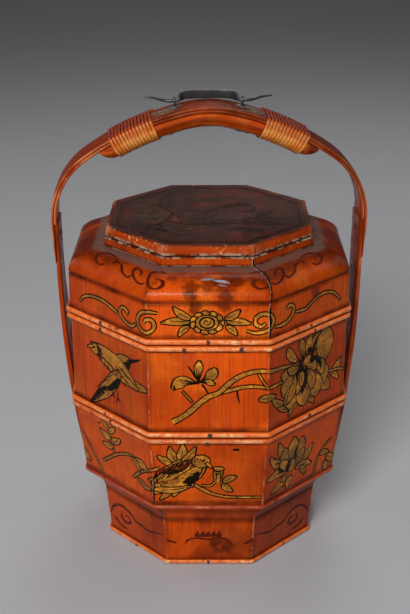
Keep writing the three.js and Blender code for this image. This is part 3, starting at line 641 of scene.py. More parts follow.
@mask_tree("Scuffs", ["Scratches", "Pits", "Rubbed"], ("Position", PLACE), ("Scale", NUMBER, 26),
    ("Amount", NUMBER, 0.5))
def scuffs_tree(graph, given, sink):
    """Short scratches, pits and rubbed patches."""
    place, scale, amount = given["Position"], given["Scale"], given["Amount"]
    leaning = graph.node("ShaderNodeMapping", Vector=place, Rotation=(0.5, 0.35, 0.8), Scale=(1, 9, 5))
    scratch = abs(graph.noise(leaning, scale, 5, 0.7) - 0.5)
    cells = graph.field(graph.node("ShaderNodeTexVoronoi", Vector=place, Scale=scale * 5.5))
    graph.give(sink,
        Scratches=(1 - graph.ease(scratch, 0, amount * 0.012))
            * graph.spots(place, 0.58, 0.68, scale * 0.6, 2),
        Pits=(1 - graph.ease(cells, 0.06, amount * 0.24)) * graph.spots(place, 0.6, 0.66, 41, 2),
        Rubbed=graph.spots(place, 0.56, 0.74, scale * 0.9, 5, 0.65))


@mask_tree("Fibres", ["Fibres", "Streaks", "Blotches"], ("UV", PLACE), ("Fineness", NUMBER, 700),
    ("Stretch", NUMBER, 0.03))
def fibres_tree(graph, given, sink):
    """Fibres that run along a strip, from a UV map in metres: along it, then across it."""
    drawn = graph.vectors("MULTIPLY", given["UV"], graph.vector(given["Stretch"], 1, 1))
    graph.give(sink, Fibres=graph.spots(drawn, 0.38, 0.66, given["Fineness"], 3, 0.6),
        Streaks=graph.spots(drawn, 0.42, 0.64, given["Fineness"] * 0.22, 3, 0.5, 0.3),
        Blotches=graph.spots(given["UV"], 0.4, 0.68, 38))


def shade(base, share=1):
    """A colour, or the one of that name, made darker, or lighter with a share above 1."""
    if isinstance(base, str):
        base = getattr(bpy.context.scene.basket_colours, base)
    return tuple(min(part * share, 1) for part in base)


class Finish:
    """A new material with a Principled shader, its graph and its object position."""

    def __init__(self, name, roughness=0.4, coat=0, coat_roughness=0.2, specular=0.4, metallic=0,
            tint=WARM):
        self.material = bpy.data.materials.new(name)
        self.material.use_nodes = True
        self.graph = Graph(self.material.node_tree)
        self.shader = self.graph.tree.nodes["Principled BSDF"]
        self.graph.tree.nodes["Material Output"].location = (3400, 300)
        self.shader.location = (3100, 300)
        self.graph.give(self.shader, Roughness=roughness, Metallic=metallic, Coat_Weight=coat,
            Coat_Roughness=coat_roughness, Specular_IOR_Level=specular, Specular_Tint=(*tint, 1))
        self.position = self.graph.node("ShaderNodeTexCoord").outputs["Object"]

    def group(self, tree, **values):
        made = self.graph.node("ShaderNodeGroup", {"node_tree": tree()}, **values)
        return {socket.name: Field(self.graph, socket) for socket in made.outputs}

    def wear(self, **values):
        return self.group(corner_wear_tree, Position=self.position, **values)

    def scuffs(self, **values):
        return self.group(scuffs_tree, Position=self.position, **values)

    def fibres(self, **values):
        return self.group(fibres_tree, UV=self.graph.node("ShaderNodeUVMap", {"uv_map": "Strip"}), **values)

    def attribute(self, name):
        return self.graph.field(self.graph.node("ShaderNodeAttribute", {"attribute_name": name}), "Fac")

    def spots(self, low, high, scale, *more):
        return self.graph.spots(self.position, low, high, scale, *more)

    def squeezed(self, *shares):
        return self.graph.vectors("MULTIPLY", self.position, shares)

    def level(self):
        return self.graph.split(self.position)[2]

    def layer(self, base, *layers):
        """Colours laid over a base, each with the share of it that shows and its tone."""
        colour = (*shade(*base), 1)
        for share, *over in layers:
            colour = self.graph.mix(share, colour, (*shade(*over), 1))
        self.graph.give(self.shader, Base_Color=colour)

    def done(self, rough, height, strength, distance):
        """Roughness and relief, the last step of a finish."""
        bump = self.graph.node("ShaderNodeBump", Height=height, Strength=strength, Distance=distance)
        self.graph.give(self.shader, Roughness=rough, Normal=bump)
        return self.material


def lacquer_finish(name, deep=0.5, grime_from=None, grime_at=(), worn=1, tone=1, glow=0.65, slanted=0.4,
        bare_at=(), stains=()):
    """Orange-red lacquer over upright grain, with places in millimetres. grime_at lists where painted shade
    and dust darken the lacquer beside beads and other parts, under lips and by the floor, and bare_at where
    wood shows through chips, each as (level, reach). The dusty part begins at grime_from. slanted is how
    much painted shade darkens the four slanted sides. stains lists dark patches on the front and the back
    as (along, distance from the middle, level, reach)."""
    finish = Finish(name, 0.3, coat=0.08, coat_roughness=0.05, specular=0.1)
    graph, scuffs, wear = finish.graph, finish.scuffs(), finish.wear()
    grain = finish.group(upright_grain_tree, Position=finish.position)
    x, y, level = graph.split(finish.position)
    broad = finish.spots(0.42, 0.6, 9, 6, 0.62, 0.4)
    lit = finish.spots(0.44, 0.64, 14, 5, 0.62, 0.6)
    streak = graph.spots(finish.squeezed(1, 1, 0.05), 0.56, 0.68, 150, 4, 0.6, 0.2)
    edge = graph.noise(finish.position, 120, 4, 0.65)
    cloudy = finish.spots(0.36, 0.7, 34, 5, 0.62)

    def near(places, ragged):
        total = 0
        for at, reach in places:
            away = abs(level - at * MM)
            far = reach * MM * (edge * ragged + 1 - ragged / 2)
            total = (1 - graph.ease(away, reach * MM * 0.1, far)) + total
        return total

    def capped(share, most=0.9):
        return graph.math("MINIMUM", share, most)

    layers = [(broad * deep, "deep", tone), (lit * glow, (0.88, 0.17, 0.008), tone),
        # painted shade: the next layer darkens the four slanted sides by the share slanted
        (wear["Slanted"] * slanted, "deep", 0.85 * tone), (streak * 0.3, "deep", 0.5 * tone),
        (grain["Broad"] * 0.22, "lacquer", 1.2 * tone), (grain["Lines"] * 0.32, "deep", 0.75 * tone),
        (scuffs["Rubbed"] * 0.12, (0.8, 0.22, 0.02)), (wear["Dim"] * 0.6, "deep", 0.6)]
    for along, out, high, reach in stains:
        folded = graph.vector(x, abs(y), level)
        away = graph.vectors("DISTANCE", folded, (along * MM, out * MM, high * MM)) + (
            (edge - 0.5) * 0.016 + (cloudy - 0.5) * 0.006)
        layers.append(((1 - graph.ease(away, reach * MM * 0.45, reach * MM)) * 0.72, "deep", 0.32))
    if grime_from is not None:
        stained = graph.ease(level + broad * 0.006, (grime_from - 6) * MM, (grime_from + 3) * MM)
        high = graph.ease(level + cloudy * 0.0004, (grime_from - 0.7) * MM, (grime_from + 0.5) * MM)
        layers += [(stained * (broad * 0.5 + 0.35), "deep", 0.45),
            (capped(high * (edge * 1.1 + 0.25), 0.92), "grime", 0.9)]
    # painted shade and dust: the lacquer darkens at the levels that grime_at lists
    if grime_at:
        layers.append((capped(near(grime_at, 1.2) * (cloudy * 0.5 + 0.42)), "deep", 0.2))
    layers += [(wear["Wear"] * 0.42 * worn, "worn"), (scuffs["Scratches"] * 0.45, "worn", 0.8),
        (scuffs["Pits"] * 0.85, "deep", 0.2)]
    if bare_at:
        chips = near(bare_at, 1.6) * finish.spots(0.46, 0.54, 75, 5, 0.75)
        layers += [(capped(near(bare_at, 1.6), 0.75), "deep", 0.15), (capped(chips), (0.42, 0.3, 0.2))]
    finish.layer(("lacquer", tone), *layers)
    return finish.done(cloudy * 0.2 + 0.22 + scuffs["Rubbed"] * 0.1,
        grain["Height"] * 0.6 + cloudy * 0.5 - scuffs["Pits"] * 0.8, 0.25, 0.0006)


def bead_finish(name, base=(226, 98, 24), crest_share=1):
    """A bead that is pale along its crest, partly rubbed and partly a painted highlight, and dark with
    painted shade and grime where it meets the wall.
    """
    finish = Finish(name, 0.3, coat=0.12, coat_roughness=0.1, specular=0.22)
    graph, crest, drawn = finish.graph, finish.attribute("crest"), finish.squeezed(0.16, 0.16, 1)
    lines = graph.spots(drawn, 0.4, 0.66, 1300, 3, 0.6)
    streaks = graph.spots(drawn, 0.4, 0.6, 300, 4, 0.7)
    blotch = finish.spots(0.4, 0.66, 26, 4, 0.6)
    chipped = finish.spots(0.42, 0.56, 170, 5, 0.7)
    # the pale crest: real rubbing and a painted highlight, kept weaker on the slanted sides as painted shade
    rubbed = (graph.ease(crest, 0.5, 0.95) * (streaks * 0.6 + 0.4) * (blotch * 0.6 + 0.4)
        * (chipped * 0.8 + 0.2) * (1 - finish.wear()["Slanted"] * 0.4))
    finish.layer(([linear(part) for part in base],), (blotch * 0.4, "lacquer", 0.85),
        (rubbed * crest_share, "bead_worn"), (lines * 0.3, "deep", 1.3),
        (finish.spots(0.58, 0.7, 60, 4, 0.66) * 0.75, "deep", 0.45),
        # painted shade and grime where the bead meets the wall
        (1 - graph.ease(crest, 0.1, 0.55), "deep", 0.14))
    return finish.done(blotch * 0.16 + 0.3, lines * 0.4 + blotch * 0.3, 0.3, 0.0003)


def cap_finish(name):
    """Near-black lacquer on top, and orange where the cap's edges and sides are rubbed."""
    finish = Finish(name, 0.4, coat=0.03, coat_roughness=0.3, specular=0.16)
    graph, level = finish.graph, finish.level()
    wear, scuffs = finish.wear(Width=0.009), finish.scuffs(Scale=34)
    cloudy = finish.spots(0.4, 0.6, 15, 6, 0.65, 0.4)
    fine = finish.spots(0.4, 0.64, 75, 5, 0.7)
    side = 1 - graph.ease(level, (CAP[1] - 1.6) * MM, (CAP[1] - 0.55) * MM)
    low = 1 - graph.ease(level, (CAP[0] + 0.6) * MM, (CAP[0] + 3.4) * MM)
    rim = graph.ease(wear["Flat Distance"], (CAP_FLATS[1] - 6.5) * MM, (CAP_FLATS[1] - 0.6) * MM)
    flecks = finish.spots(0.58, 0.64, 260, 4, 0.7) * rim * finish.spots(0.46, 0.62, 19)
    finish.layer(("cap",), (cloudy * 0.85, "cap", 0.3),
        (finish.spots(0.5, 0.66, 21, 5, 0.62) * 0.75, "deep", 0.62), (fine * 0.6, "cap", 0.22),
        (scuffs["Rubbed"] * 0.3, "grime", 0.35),
        (rim * finish.spots(0.34, 0.62, 30, 4, 0.6) * 0.55, "lacquer", 0.5), (side, "lacquer", 0.68),
        (side * cloudy * 0.5, "deep", 0.8), (side * low * 0.7, "deep", 0.2),
        (side * low * finish.spots(0.45, 0.53, 85, 5, 0.75) * 0.85, (0.46, 0.33, 0.22)),
        (flecks * 0.8, "bead_worn", 0.8), (wear["Wear"] * graph.ease(rim, 0.5, 0.9) * 0.6, "worn", 0.7),
        (scuffs["Scratches"] * 0.4, "worn", 0.4))
    return finish.done(cloudy * 0.18 + 0.34, cloudy * 0.5 + fine * 0.5 + scuffs["Rubbed"] * 0.3, 0.35, 0.0006)


def board_finish(name):
    """Plain sawn wood."""
    finish = Finish(name, 0.62, tint=(1, 1, 1))
    drawn = finish.squeezed(0.05, 1, 1)
    lines = finish.graph.spots(drawn, 0.4, 0.66, 420, 4, 0.6)
    rings = finish.graph.spots(drawn, 0.38, 0.66, 60, 3, 0.5, 0.6)
    finish.layer(("board",), (rings * 0.5, "board", 0.6), (lines * 0.4, "board", 1.35),
        (finish.spots(0.42, 0.7, 16, 4, 0.6) * 0.4, "board", 0.4))
    return finish.done(rings * 0.15 + 0.55, lines * 0.5 + rings * 0.5, 0.35, 0.0004)


def bamboo_finish(name):
    """Lacquered bamboo strips, with rubbed lines along their edges, green stain by the pins and painted shade
    on the handle's right shoulder.
    """
    finish = Finish(name, 0.3, coat=0.05, coat_roughness=0.1, specular=0.12)
    graph, edge = finish.graph, finish.attribute("edge")
    fibres, coarse = finish.fibres(), finish.fibres(Fineness=330, Stretch=0.02)
    rub = (graph.ease(edge, 0.7, 1) * graph.ease(coarse["Streaks"], 0.2, 0.8)
        * finish.spots(0.36, 0.62, 30, 4, 0.6))
    stain = 0
    for hand in (-1, 1):
        x, y, _ = twisted((hand * 48 * MM, 0, 0))
        away = graph.vectors("DISTANCE", finish.position, (x, y, 0.489))
        stain = (1 - graph.ease(away, 0.006, 0.021)) + stain
    across, _, level = graph.split(finish.position)
    crown = graph.ease(level, 0.462, 0.49) * (coarse["Streaks"] * 0.5 + 0.5)
    # painted shade that darkens the handle's right shoulder
    shoulder = graph.ease(across, 0.07, 0.105) * graph.ease(level, 0.385, 0.42)
    finish.layer(("bamboo",), (fibres["Blotches"] * 0.4, "lacquer", 0.6), (edge * 0.5, "lacquer", 0.72),
        (crown * finish.spots(0.36, 0.58, 34, 4, 0.6) * 0.85, "bamboo", 0.22),
        (graph.ease(edge, 0.1, 0.4) * (1 - graph.ease(edge, 0.45, 0.75)) * (coarse["Streaks"] * 0.4 + 0.4),
        "bamboo", 0.15), (coarse["Fibres"] * 0.5, "bamboo", 0.3),
        (finish.spots(0.46, 0.64, 18, 4, 0.55) * 0.6, "bamboo", 0.3),
        (fibres["Fibres"] * 0.4, "bamboo", 0.4), (fibres["Streaks"] * 0.4, "lacquer", 0.8),
        (rub * 0.85, "bamboo_worn"),
        (stain * finish.spots(0.44, 0.54, 110, 5, 0.7) * 0.8, (0.13, 0.14, 0.1)),
        (stain * finish.spots(0.52, 0.6, 170, 4, 0.7) * 0.7, (0.42, 0.36, 0.27)),
        # painted shade on the right shoulder
        (shoulder * (coarse["Streaks"] * 0.5 + 0.3), "bamboo", 0.3))
    return finish.done(fibres["Blotches"] * 0.2 + 0.24, coarse["Fibres"] * 0.6 + fibres["Fibres"] * 0.4,
        0.45, 0.0006)


def grip_finish(name):
    """The grip is brighter than the strips above it, with dark streaks and a painted shadow on its right end.
    """
    finish = Finish(name, 0.28, coat=0.12, coat_roughness=0.08, specular=0.2)
    fibres, coarse = finish.fibres(Stretch=0.05), finish.fibres(Fineness=260, Stretch=0.04)
    worn = finish.spots(0.4, 0.62, 22, 4, 0.6)
    across = finish.graph.split(finish.position)[0]
    finish.layer(("lacquer", 0.95), (worn * 0.6, (0.85, 0.24, 0.03)),
        (coarse["Fibres"] * 0.6, "deep", 0.55), (coarse["Streaks"] * 0.5, "deep", 0.4),
        (fibres["Fibres"] * 0.35, "deep", 0.8), (coarse["Streaks"] * fibres["Streaks"] * 0.9, "deep", 0.2),
        (fibres["Blotches"] * worn * 0.3, "worn", 0.6),
        # a painted shadow that darkens the grip's right end
        (finish.graph.ease(across, 0.1, 0.108) * 0.85, "deep", 0.3))
    return finish.done(fibres["Blotches"] * 0.18 + 0.24, coarse["Fibres"] * 0.6 + fibres["Streaks"] * 0.4,
        0.4, 0.0006)


def rattan_finish(name):
    """Cane that is dark and lacquered on top and bright where hands have rubbed it, with painted shade along
    its edges where the turns meet.
    """
    finish = Finish(name, 0.34, coat=0.12, coat_roughness=0.12, specular=0.28)
    graph, off = finish.graph, abs(finish.attribute("across"))
    groove = 1 - graph.ease(abs(off - 0.3), 0.03, 0.2)
    lines = finish.spots(0.4, 0.62, 700, 4, 0.65)
    blotch = finish.spots(0.4, 0.62, 70, 4, 0.6)
    bright = graph.math("MINIMUM", finish.attribute("rubbed") * (blotch * 0.3 + 0.85), 1)
    finish.layer(("bamboo", 1.7), (blotch * 0.5, "bamboo", 0.7), (lines * 0.3, "lacquer", 0.85),
        (bright, "rattan"), (bright * blotch * 0.5, (1, 0.56, 0.17)),
        (bright * lines * 0.3, "lacquer", 0.8), (groove * 0.75, "lacquer", 0.4),
        # painted shade along the cane's edges, in the gaps between turns
        (graph.ease(off, 0.62, 0.92), "bamboo", 0.1))
    return finish.done(blotch * 0.15 + 0.28, lines * 0.6 + blotch * 0.2, 0.4, 0.0004)


def iron_finish(name, flaked=0, metallic=0.75, base="iron"):
    """Beaten iron. flaked is how much old paint is left on it."""
    finish = Finish(name, 0.5, metallic=metallic, tint=(1, 1, 1))
    mottle = finish.spots(0.36, 0.66, 120, 5, 0.62)
    rust = finish.spots(0.56, 0.72, 75, 4, 0.6)
    finish.layer((base,), (mottle * 0.5, base, 0.35), (rust * 0.5, (0.09, 0.04, 0.02)),
        (finish.spots(0.52, 0.7, 48) * 0.35, base, 2.6),
        (finish.spots(0.47, 0.56, 230, 4, 0.7) * flaked, (0.34, 0.31, 0.25)))
    return finish.done(mottle * 0.25 + 0.36, mottle * 0.6 + rust * 0.4, 0.45, 0.0005)


def paint_finish(name, base, deep, flake, worn):
    """Brushed paint with its own streaks, thin places and worn flecks, and painted shade on the four slanted
    sides. worn is how much has rubbed off.
    """
    finish = Finish(name, 0.4, coat=0.02, coat_roughness=0.2, specular=0.12)
    uneven = finish.spots(0.42, 0.58, 150, 5, 0.7)
    patch = finish.spots(0.47, 0.6, 34, 5, 0.65)
    finish.layer(base, (uneven * 0.6, *deep), (finish.spots(0.5, 0.62, 90, 4, 0.65) * 0.6, *flake),
        (patch * 0.6, *deep), (finish.spots(0.53, 0.6, 380, 4, 0.7) * 0.6, shade(*deep), 0.4),
        # painted shade: the paint is darker on the four slanted sides
        (finish.wear()["Slanted"] * (patch * 0.35 + 0.35), *deep))
    if worn:
        gone = finish.spots(0.64 - worn * 0.3, 0.7 - worn * 0.3, 170, 5, 0.75)
        finish.graph.give(finish.shader, Alpha=1 - gone * min(worn + 0.4, 1))
    return finish.done(uneven * 0.2 + 0.32, uneven, 0.3, 0.0002)


def shared(build, name, *values, **more):
    """The material of that name, built when it is first asked for."""
    return bpy.data.materials.get(name) or build(name, *values, **more)


def iron():
    return shared(iron_finish, "Forged iron")


def rusty():
    return shared(iron_finish, "Rusty nail", metallic=0.1, base=(0.06, 0.028, 0.016))


def bamboo():
    return shared(bamboo_finish, "Handle bamboo")


def bare():
    return shared(board_finish, "Bare board")


def dress(material, *nodes):
    """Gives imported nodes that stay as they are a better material."""
    for node in nodes:
        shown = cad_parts[node]
        shown.data.materials.clear()
        shown.data.materials.append(material)


# The handle's line, seen from the front, in millimetres. Distances along it are counted from the crown.


def arch_line(distance):
    """Place, slope and height of the strips' outer face: x, z and how far the line has turned down."""
    left, x, z, turned = abs(distance), 0, ARCH_TOP, 0
    for radius, turn in ARCH_BENDS:
        part = min(left / radius, turn)
        x += radius * (sin(turned + part) - sin(turned))
        z -= radius * (cos(turned) - cos(turned + part))
        turned += part
        left -= part * radius
    x += left * cos(turned)
    z -= left * sin(turned)
    hand = -1 if distance < 0 else 1
    return hand * x, z, hand * turned


def arch_out(distance):
    _, _, turned = arch_line(distance)
    return Vector((sin(turned), 0, cos(turned)))


def under_arch(distance, depth, y=0):
    x, z, _ = arch_line(distance)
    return Vector((x, y, z)) - arch_out(distance) * depth


def twisted(point, turn=HANDLE_TWIST):
    return Matrix.Rotation(turn, 3, "Z") @ Vector(point)


def solved(measure, value, high=600):
    """Where a rising measure reaches a value."""
    low = 0
    for _ in range(50):
        middle = (low + high) / 2
        if measure(middle) < value:
            low = middle
        else:
            high = middle
    return low


def distance_at_level(level):
    return solved(lambda distance: ARCH_TOP - arch_line(distance)[1], ARCH_TOP - level)


LAP_START = distance_at_level(UPRIGHT_TOP)
TAIL_END = LAP_START + 44
TAIL_TAPER = 34
TAIL_TIP = 0.9
STRIP_DEPTH = OUTER_STRIP + SEAT + INNER_STRIP
GRIP_TOP = STRIP_DEPTH + SEAT
UPRIGHT_OUTER_TOP = under_arch(LAP_START, OUTER_STRIP + SEAT).x
UPRIGHT_INNER_TOP = UPRIGHT_OUTER_TOP - UPRIGHT_BOARDS[0]
UPRIGHT_INNER_END = lower_wall(UPRIGHT_END) + SEAT
LAP_FOOT = arch_line(TAIL_END)[1] - 4
PIVOT = ARCH_TOP + PIN_RISE


def bow_power():
    """The bow that takes an upright past the beads of both tiers."""
    powers = []
    for level, wall_at in ((LOWER[1] - RIM_BEAD_DROP, lower_wall), (MIDDLE[0] + LOW_BEAD_RISE, middle_wall)):
        inner = wall_at(level) + SEAT + BEAD_PROUD + BEAD_CLEARANCE
        share = (UPRIGHT_INNER_TOP - inner) / (UPRIGHT_INNER_TOP - UPRIGHT_INNER_END)
        powers.append(log(share) / log((UPRIGHT_TOP - level) / (UPRIGHT_TOP - UPRIGHT_END)))
    return max(powers)


BOW = bow_power()


def upright_fall(level):
    return (UPRIGHT_TOP - level) / (UPRIGHT_TOP - UPRIGHT_END)


def upright_inner(level):
    bowed = between(UPRIGHT_INNER_TOP, UPRIGHT_INNER_END, upright_fall(level) ** BOW)
    return max(bowed, lower_wall(level) + SEAT) if level < LOWER[1] else bowed


def upright_outer(level):
    free = upright_inner(level) + between(*UPRIGHT_BOARDS, upright_fall(level))
    if level < LAP_FOOT:
        return free
    return min(free, under_arch(distance_at_level(level), OUTER_STRIP + SEAT).x)


def upright_twist(level):
    share = min(max((level - LOWER[1]) / (LAP_FOOT - LOWER[1]), 0), 1)
    return HANDLE_TWIST * share * share * (3 - 2 * share)


def lofted(name, rows, material, along=None, edges=None, ring=False):
    """A closed run of equal loops of points in millimetres, or a ring of them. along gives each row's
    place on the run."""
    width, count = len(rows[0]), len(rows)
    along = along or list(range(count))
    places = [((row, here), (row, here + 1), (row + 1, here + 1), (row + 1, here))
        for row in range(count if ring else count - 1) for here in range(width)]
    if not ring:
        places += [[(row, here) for here in range(width)] for row in (0, count - 1)]
    given = {"edge": [value for row in edges for value in row]} if edges else {}
    mesh = source_mesh(name, [corner for row in rows for corner in row], [],
        [[row % count * width + here % width for row, here in corners] for corners in places], **given)
    runs = [list(accumulate((dist(row[here], row[(here + 1) % width]) for here in range(width)), initial=0))
        for row in rows]
    layer = mesh.uv_layers.new(name="Strip")
    for face, corners in zip(mesh.polygons, places):
        for loop, (row, here) in zip(face.loop_indices, corners):
            layer.data[loop].uv = (along[row % count] * MM, runs[row % count][here] * MM)
    mesh.materials.append(material)
    turn_outwards(mesh, radians(42))
    return linked(name, mesh)


def strip_section(half, top, bottom, soft=0.8, crown=0.5):
    """A strip's section as [y, depth, nearness to an edge], with rounded edges and a crowned outer face."""
    thick = bottom - top
    soft = min(soft, thick * 0.45)
    outer = [(y, top + crown * (y / half) ** 2, max(0, (abs(y) - half + 5) / 5))
        for y in spaced(-half + soft, half - soft, count=8)]
    edge = [(half - soft + soft * sin(turn), top + crown + soft * (1 - cos(turn)) * (thick - crown) / thick,
        1) for turn in (pi / 6, pi / 3, pi / 2)]
    edge += [(half, bottom - soft, 0.8), (half - soft * 0.3, bottom - soft * 0.3, 0.8)]
    inner = [(y, bottom, 0) for y in spaced(half - soft, -half + soft, count=4)]
    return outer + edge + inner + [(-y, depth, near) for y, depth, near in reversed(edge)]


def spaced(low, high, step=1, count=None):
    """Even places from low to high, no further apart than step, or in count steps."""
    count = count or max(2, ceil((high - low) / step))
    return [between(low, high, place / count) for place in range(count + 1)]


def strip_piece(name, distances, section_at, material):
    """A strip under the arch's line. section_at gives its section at a distance along the arch."""
    rows, edges = [], []
    for distance in distances:
        section = section_at(distance)
        waver = 0.35 * noise.noise(Vector((distance * 0.02, len(name), 0)))
        rows.append([twisted(under_arch(distance, depth, y + waver)) for y, depth, _ in section])
        edges.append([edge for _, _, edge in section])
    return lofted(name, rows, material, along=distances, edges=edges)


def outer_strip():
    def section_at(distance):
        share = max(abs(distance) - (TAIL_END - TAIL_TAPER), 0) / TAIL_TAPER
        top = (OUTER_STRIP - TAIL_TIP) * share
        return strip_section(ARCH_WIDTH / 2 - WAVE_ROOM, top, OUTER_STRIP, crown=0.5 * (1 - share))
    return strip_piece("outer_strip", spaced(-TAIL_END, TAIL_END, 3.5), section_at, bamboo())


def inner_strip():
    start = OUTER_STRIP + SEAT
    end = LAP_START - SEAT
    section = strip_section(ARCH_WIDTH / 2 - WAVE_ROOM, start, start + INNER_STRIP, crown=0)
    return strip_piece("inner_strip", spaced(-end, end, 3.5), lambda distance: section, bamboo())


def grip_depth(distance):
    share = min((GRIP_HALF - abs(distance)) / GRIP_END_TAPER, 1)
    return between(GRIP_END_DEPTH, GRIP_DEPTH, sqrt(max(1 - (1 - share) ** 2, 0)))


def grip_section(distance):
    """The grip's half-round section as [y, depth, nearness to an edge]."""
    depth, half = grip_depth(distance), GRIP_WIDTH / 2
    section = [(-half + 0.4, GRIP_TOP, 1), (0, GRIP_TOP, 0), (half - 0.4, GRIP_TOP, 1)]
    for step in range(1, 24):
        turn = pi * step / 24
        section.append((half * cos(turn), GRIP_TOP + depth * sin(turn) ** 0.8, 0))
    return section


def grip():
    body = spaced(-(GRIP_HALF - GRIP_END_TAPER), GRIP_HALF - GRIP_END_TAPER, 4)
    ends = [GRIP_HALF - GRIP_END_TAPER * (1 - step / 8) ** 2 for step in range(2, 9)]
    distances = [-end for end in reversed(ends)] + body + ends
    return strip_piece("grip_under_crown", distances, grip_section, shared(grip_finish, "Grip bamboo"))


def upright(side, hand):
    """A strip that bows out past the beads of both tiers and turns with the handle."""
    rows, edges, levels = [], [], spaced(UPRIGHT_END, UPRIGHT_TOP, 4.5)
    for level in levels:
        inner, outer = upright_inner(level), upright_outer(level)
        section = strip_section(UPRIGHT_WIDTH / 2 - WAVE_ROOM, 0, outer - inner, soft=1.1, crown=0.4)
        rows.append([twisted((hand * (outer - depth), hand * y, level), upright_twist(level))
            for y, depth, _ in section])
        edges.append([edge for _, _, edge in section])
    return lofted(f"handle_upright_{side}", rows, bamboo(), along=levels, edges=edges)


# Rattan windings


def wound_outline():
    """The line of the cane round the strips and the grip: [y, depth, out y, out depth]."""
    # clear of the corners, and half the cane's thickness
    lift = 0.35 + 0.75
    half = ARCH_WIDTH / 2
    corners = [(y, depth) for y, depth, _ in grip_section(0)[2:]]
    corners = [(half, 0), *corners, (-half, 0)]
    line = []
    for place, here in enumerate(corners):
        here = Vector(here)
        before = (here - Vector(corners[place - 1])).normalized()
        after = (Vector(corners[(place + 1) % len(corners)]) - here).normalized()
        first, second = Vector((before.y, -before.x)), Vector((after.y, -after.x))
        turn = first.angle(second)
        for step in range(1 if turn < 0.4 else 5):
            out = first.slerp(second, 0.5 if turn < 0.4 else step / 4)
            line.append((here + out * (lift / (cos(turn / 2) if turn < 0.4 else 1)), out))
    return line


def resampled(line, count):
    """Even steps round a closed line of (place, out)."""
    closed = line + line[:1]
    runs = [0]
    for (here, _), (after, _) in zip(closed, closed[1:]):
        runs.append(runs[-1] + (after - here).length)
    made, place = [], 0
    for step in range(count):
        want = runs[-1] * step / count
        while runs[place + 1] < want:
            place += 1
        share = (want - runs[place]) / max(runs[place + 1] - runs[place], 1e-9)
        made.append((closed[place][0].lerp(closed[place + 1][0], share),
            closed[place][1].lerp(closed[place + 1][1], share).normalized()))
    return made


def winding(side, hand):
    """One cane, wound round the strips and the grip, rubbed bright on its underside."""
    sizes = bpy.context.scene.basket_sizes
    count = 44
    outline = resampled(wound_outline(), count)
    pitch = CANE_RUN / sizes.cane_turns
    points, outward, share, rubbed = [], [], [], []
    for step in range(sizes.cane_turns * count + 1):
        distance = hand * (CANE_START + pitch * step / count)
        place, out = outline[step % count]
        uneven = 0.18 * noise.noise(Vector((step * 0.11, hand * 7, 2)))
        points.append(twisted(under_arch(distance + hand * uneven, place.y, place.x)))
        way = -arch_out(distance) * out.y + Vector((0, out.x, 0))
        outward.append(twisted(way))
        share.append(1 - 0.17 * max(way.z, 0) + 0.06 * noise.noise(Vector((step * 0.05, 3, hand))))
        rubbed.append(min(max(0.5 - way.z * 1.4, 0), 1))
    return along_path(f"rattan_{side}", points, min(sizes.cane_width, pitch * MM * 0.985), 0.0015, 16, 0.8,
        shared(rattan_finish, "Rattan"), outward=outward, share=share, rubbed=rubbed)


def along_path(name, points, width, thickness, section, square, finish, **attributes):
    """A strip that follows a line of points in millimetres."""
    edges = [(place, place + 1) for place in range(len(points) - 1)]
    return grown(name, source_mesh(name, points, edges, **attributes), path_tree, Width=width,
        Thickness=thickness, Section_Points=section, Squareness=square, Finish=finish)


# Pins, plates and the bail


def under_pin(hand, depth):
    """How far along the arch a pin passes a depth under its line, and the point there."""
    distance = solved(lambda value: under_arch(value, depth).x, PIN_SPREAD / 2, 300)
    return hand * distance, under_arch(hand * distance, depth)


def split_pin(side, hand):
    """One wire, bent into an eye, with its two ends turned out under the grip."""
    x = hand * PIN_SPREAD / 2
    distance, foot = under_pin(hand, GRIP_TOP + GRIP_DEPTH)
    turned, low = arch_line(distance)[2], foot.z - 1.2
    along = Vector((cos(turned), 0, -sin(turned)))

    def leg(way):
        start = Vector((x, way * 0.85, low))
        turned_out = [start + along * way * out + Vector((0, 0, up))
            for out, up in ((7.2, 0), (3.6, 0.2), (1, 0.7), (0, 2.2))]
        return turned_out + [Vector((x, start.y, level))
            for level in spaced(low + 2.2, PIVOT - 5.6, count=6)[1:]]

    eye = [Vector((x, PIN_EYE * cos(turn), PIVOT + PIN_EYE * sin(turn)))
        for turn in spaced(radians(-64), radians(244), count=20)]
    points, outward = leg(1) + eye + leg(-1)[::-1], []
    last = len(points) - 1
    for place in range(last + 1):
        run = (points[min(place + 1, last)] - points[max(place - 1, 0)]).normalized()
        side_way = Vector((1, 0, 0)) if abs(run.x) < 0.7 else Vector((0, 1, 0))
        outward.append(twisted((side_way - run * side_way.dot(run)).normalized()))
    share = [0.45 + 0.55 * min(min(place, last - place) / 3, 1) for place in range(last + 1)]
    return along_path(f"pin_{side}", [twisted(point) for point in points], PIN_WIRE * MM, PIN_WIRE * MM, 12,
        1.0, iron(), outward=outward, share=share)


def pin_plate(side, hand):
    """A diamond of sheet iron with a raised middle round the pin's hole."""
    distance, centre = under_pin(hand, -SEAT)
    turned = arch_line(distance)[2]
    along, out = Vector((cos(turned), 0, -sin(turned))), arch_out(distance)
    wide, power, hole = 8, 1.15, 2.5
    loops = []
    for share, up in ((0, 0), (0, 1.5), (0.25, 1.3), (0.6, 1), (0.95, 0.9), (1, 0.6), (0.97, 0)):
        loop = []
        for turn in spaced(0, 2 * pi, count=32)[:-1]:
            edge = wide / (abs(cos(turn)) ** power + abs(sin(turn)) ** power) ** (1 / power)
            reach = between(hole, edge, share)
            loop.append(twisted(centre + along * reach * cos(turn) + Vector((0, reach * sin(turn), 0))
                + out * up))
        loops.append(loop)
    return lofted(f"plate_{side}", loops, shared(iron_finish, "Worn plate", flaked=0.8,
        metallic=0.35), ring=True)


def rest_tilt():
    """How far the bail leans back, so that the strap rests on the handle."""
    inner, wide = BAIL_REACH - STRAP_HALF[0], STRAP_HALF[1]
    return atan2(wide, inner) + asin((ARCH_TOP + SEAT - PIVOT) / hypot(inner, wide))


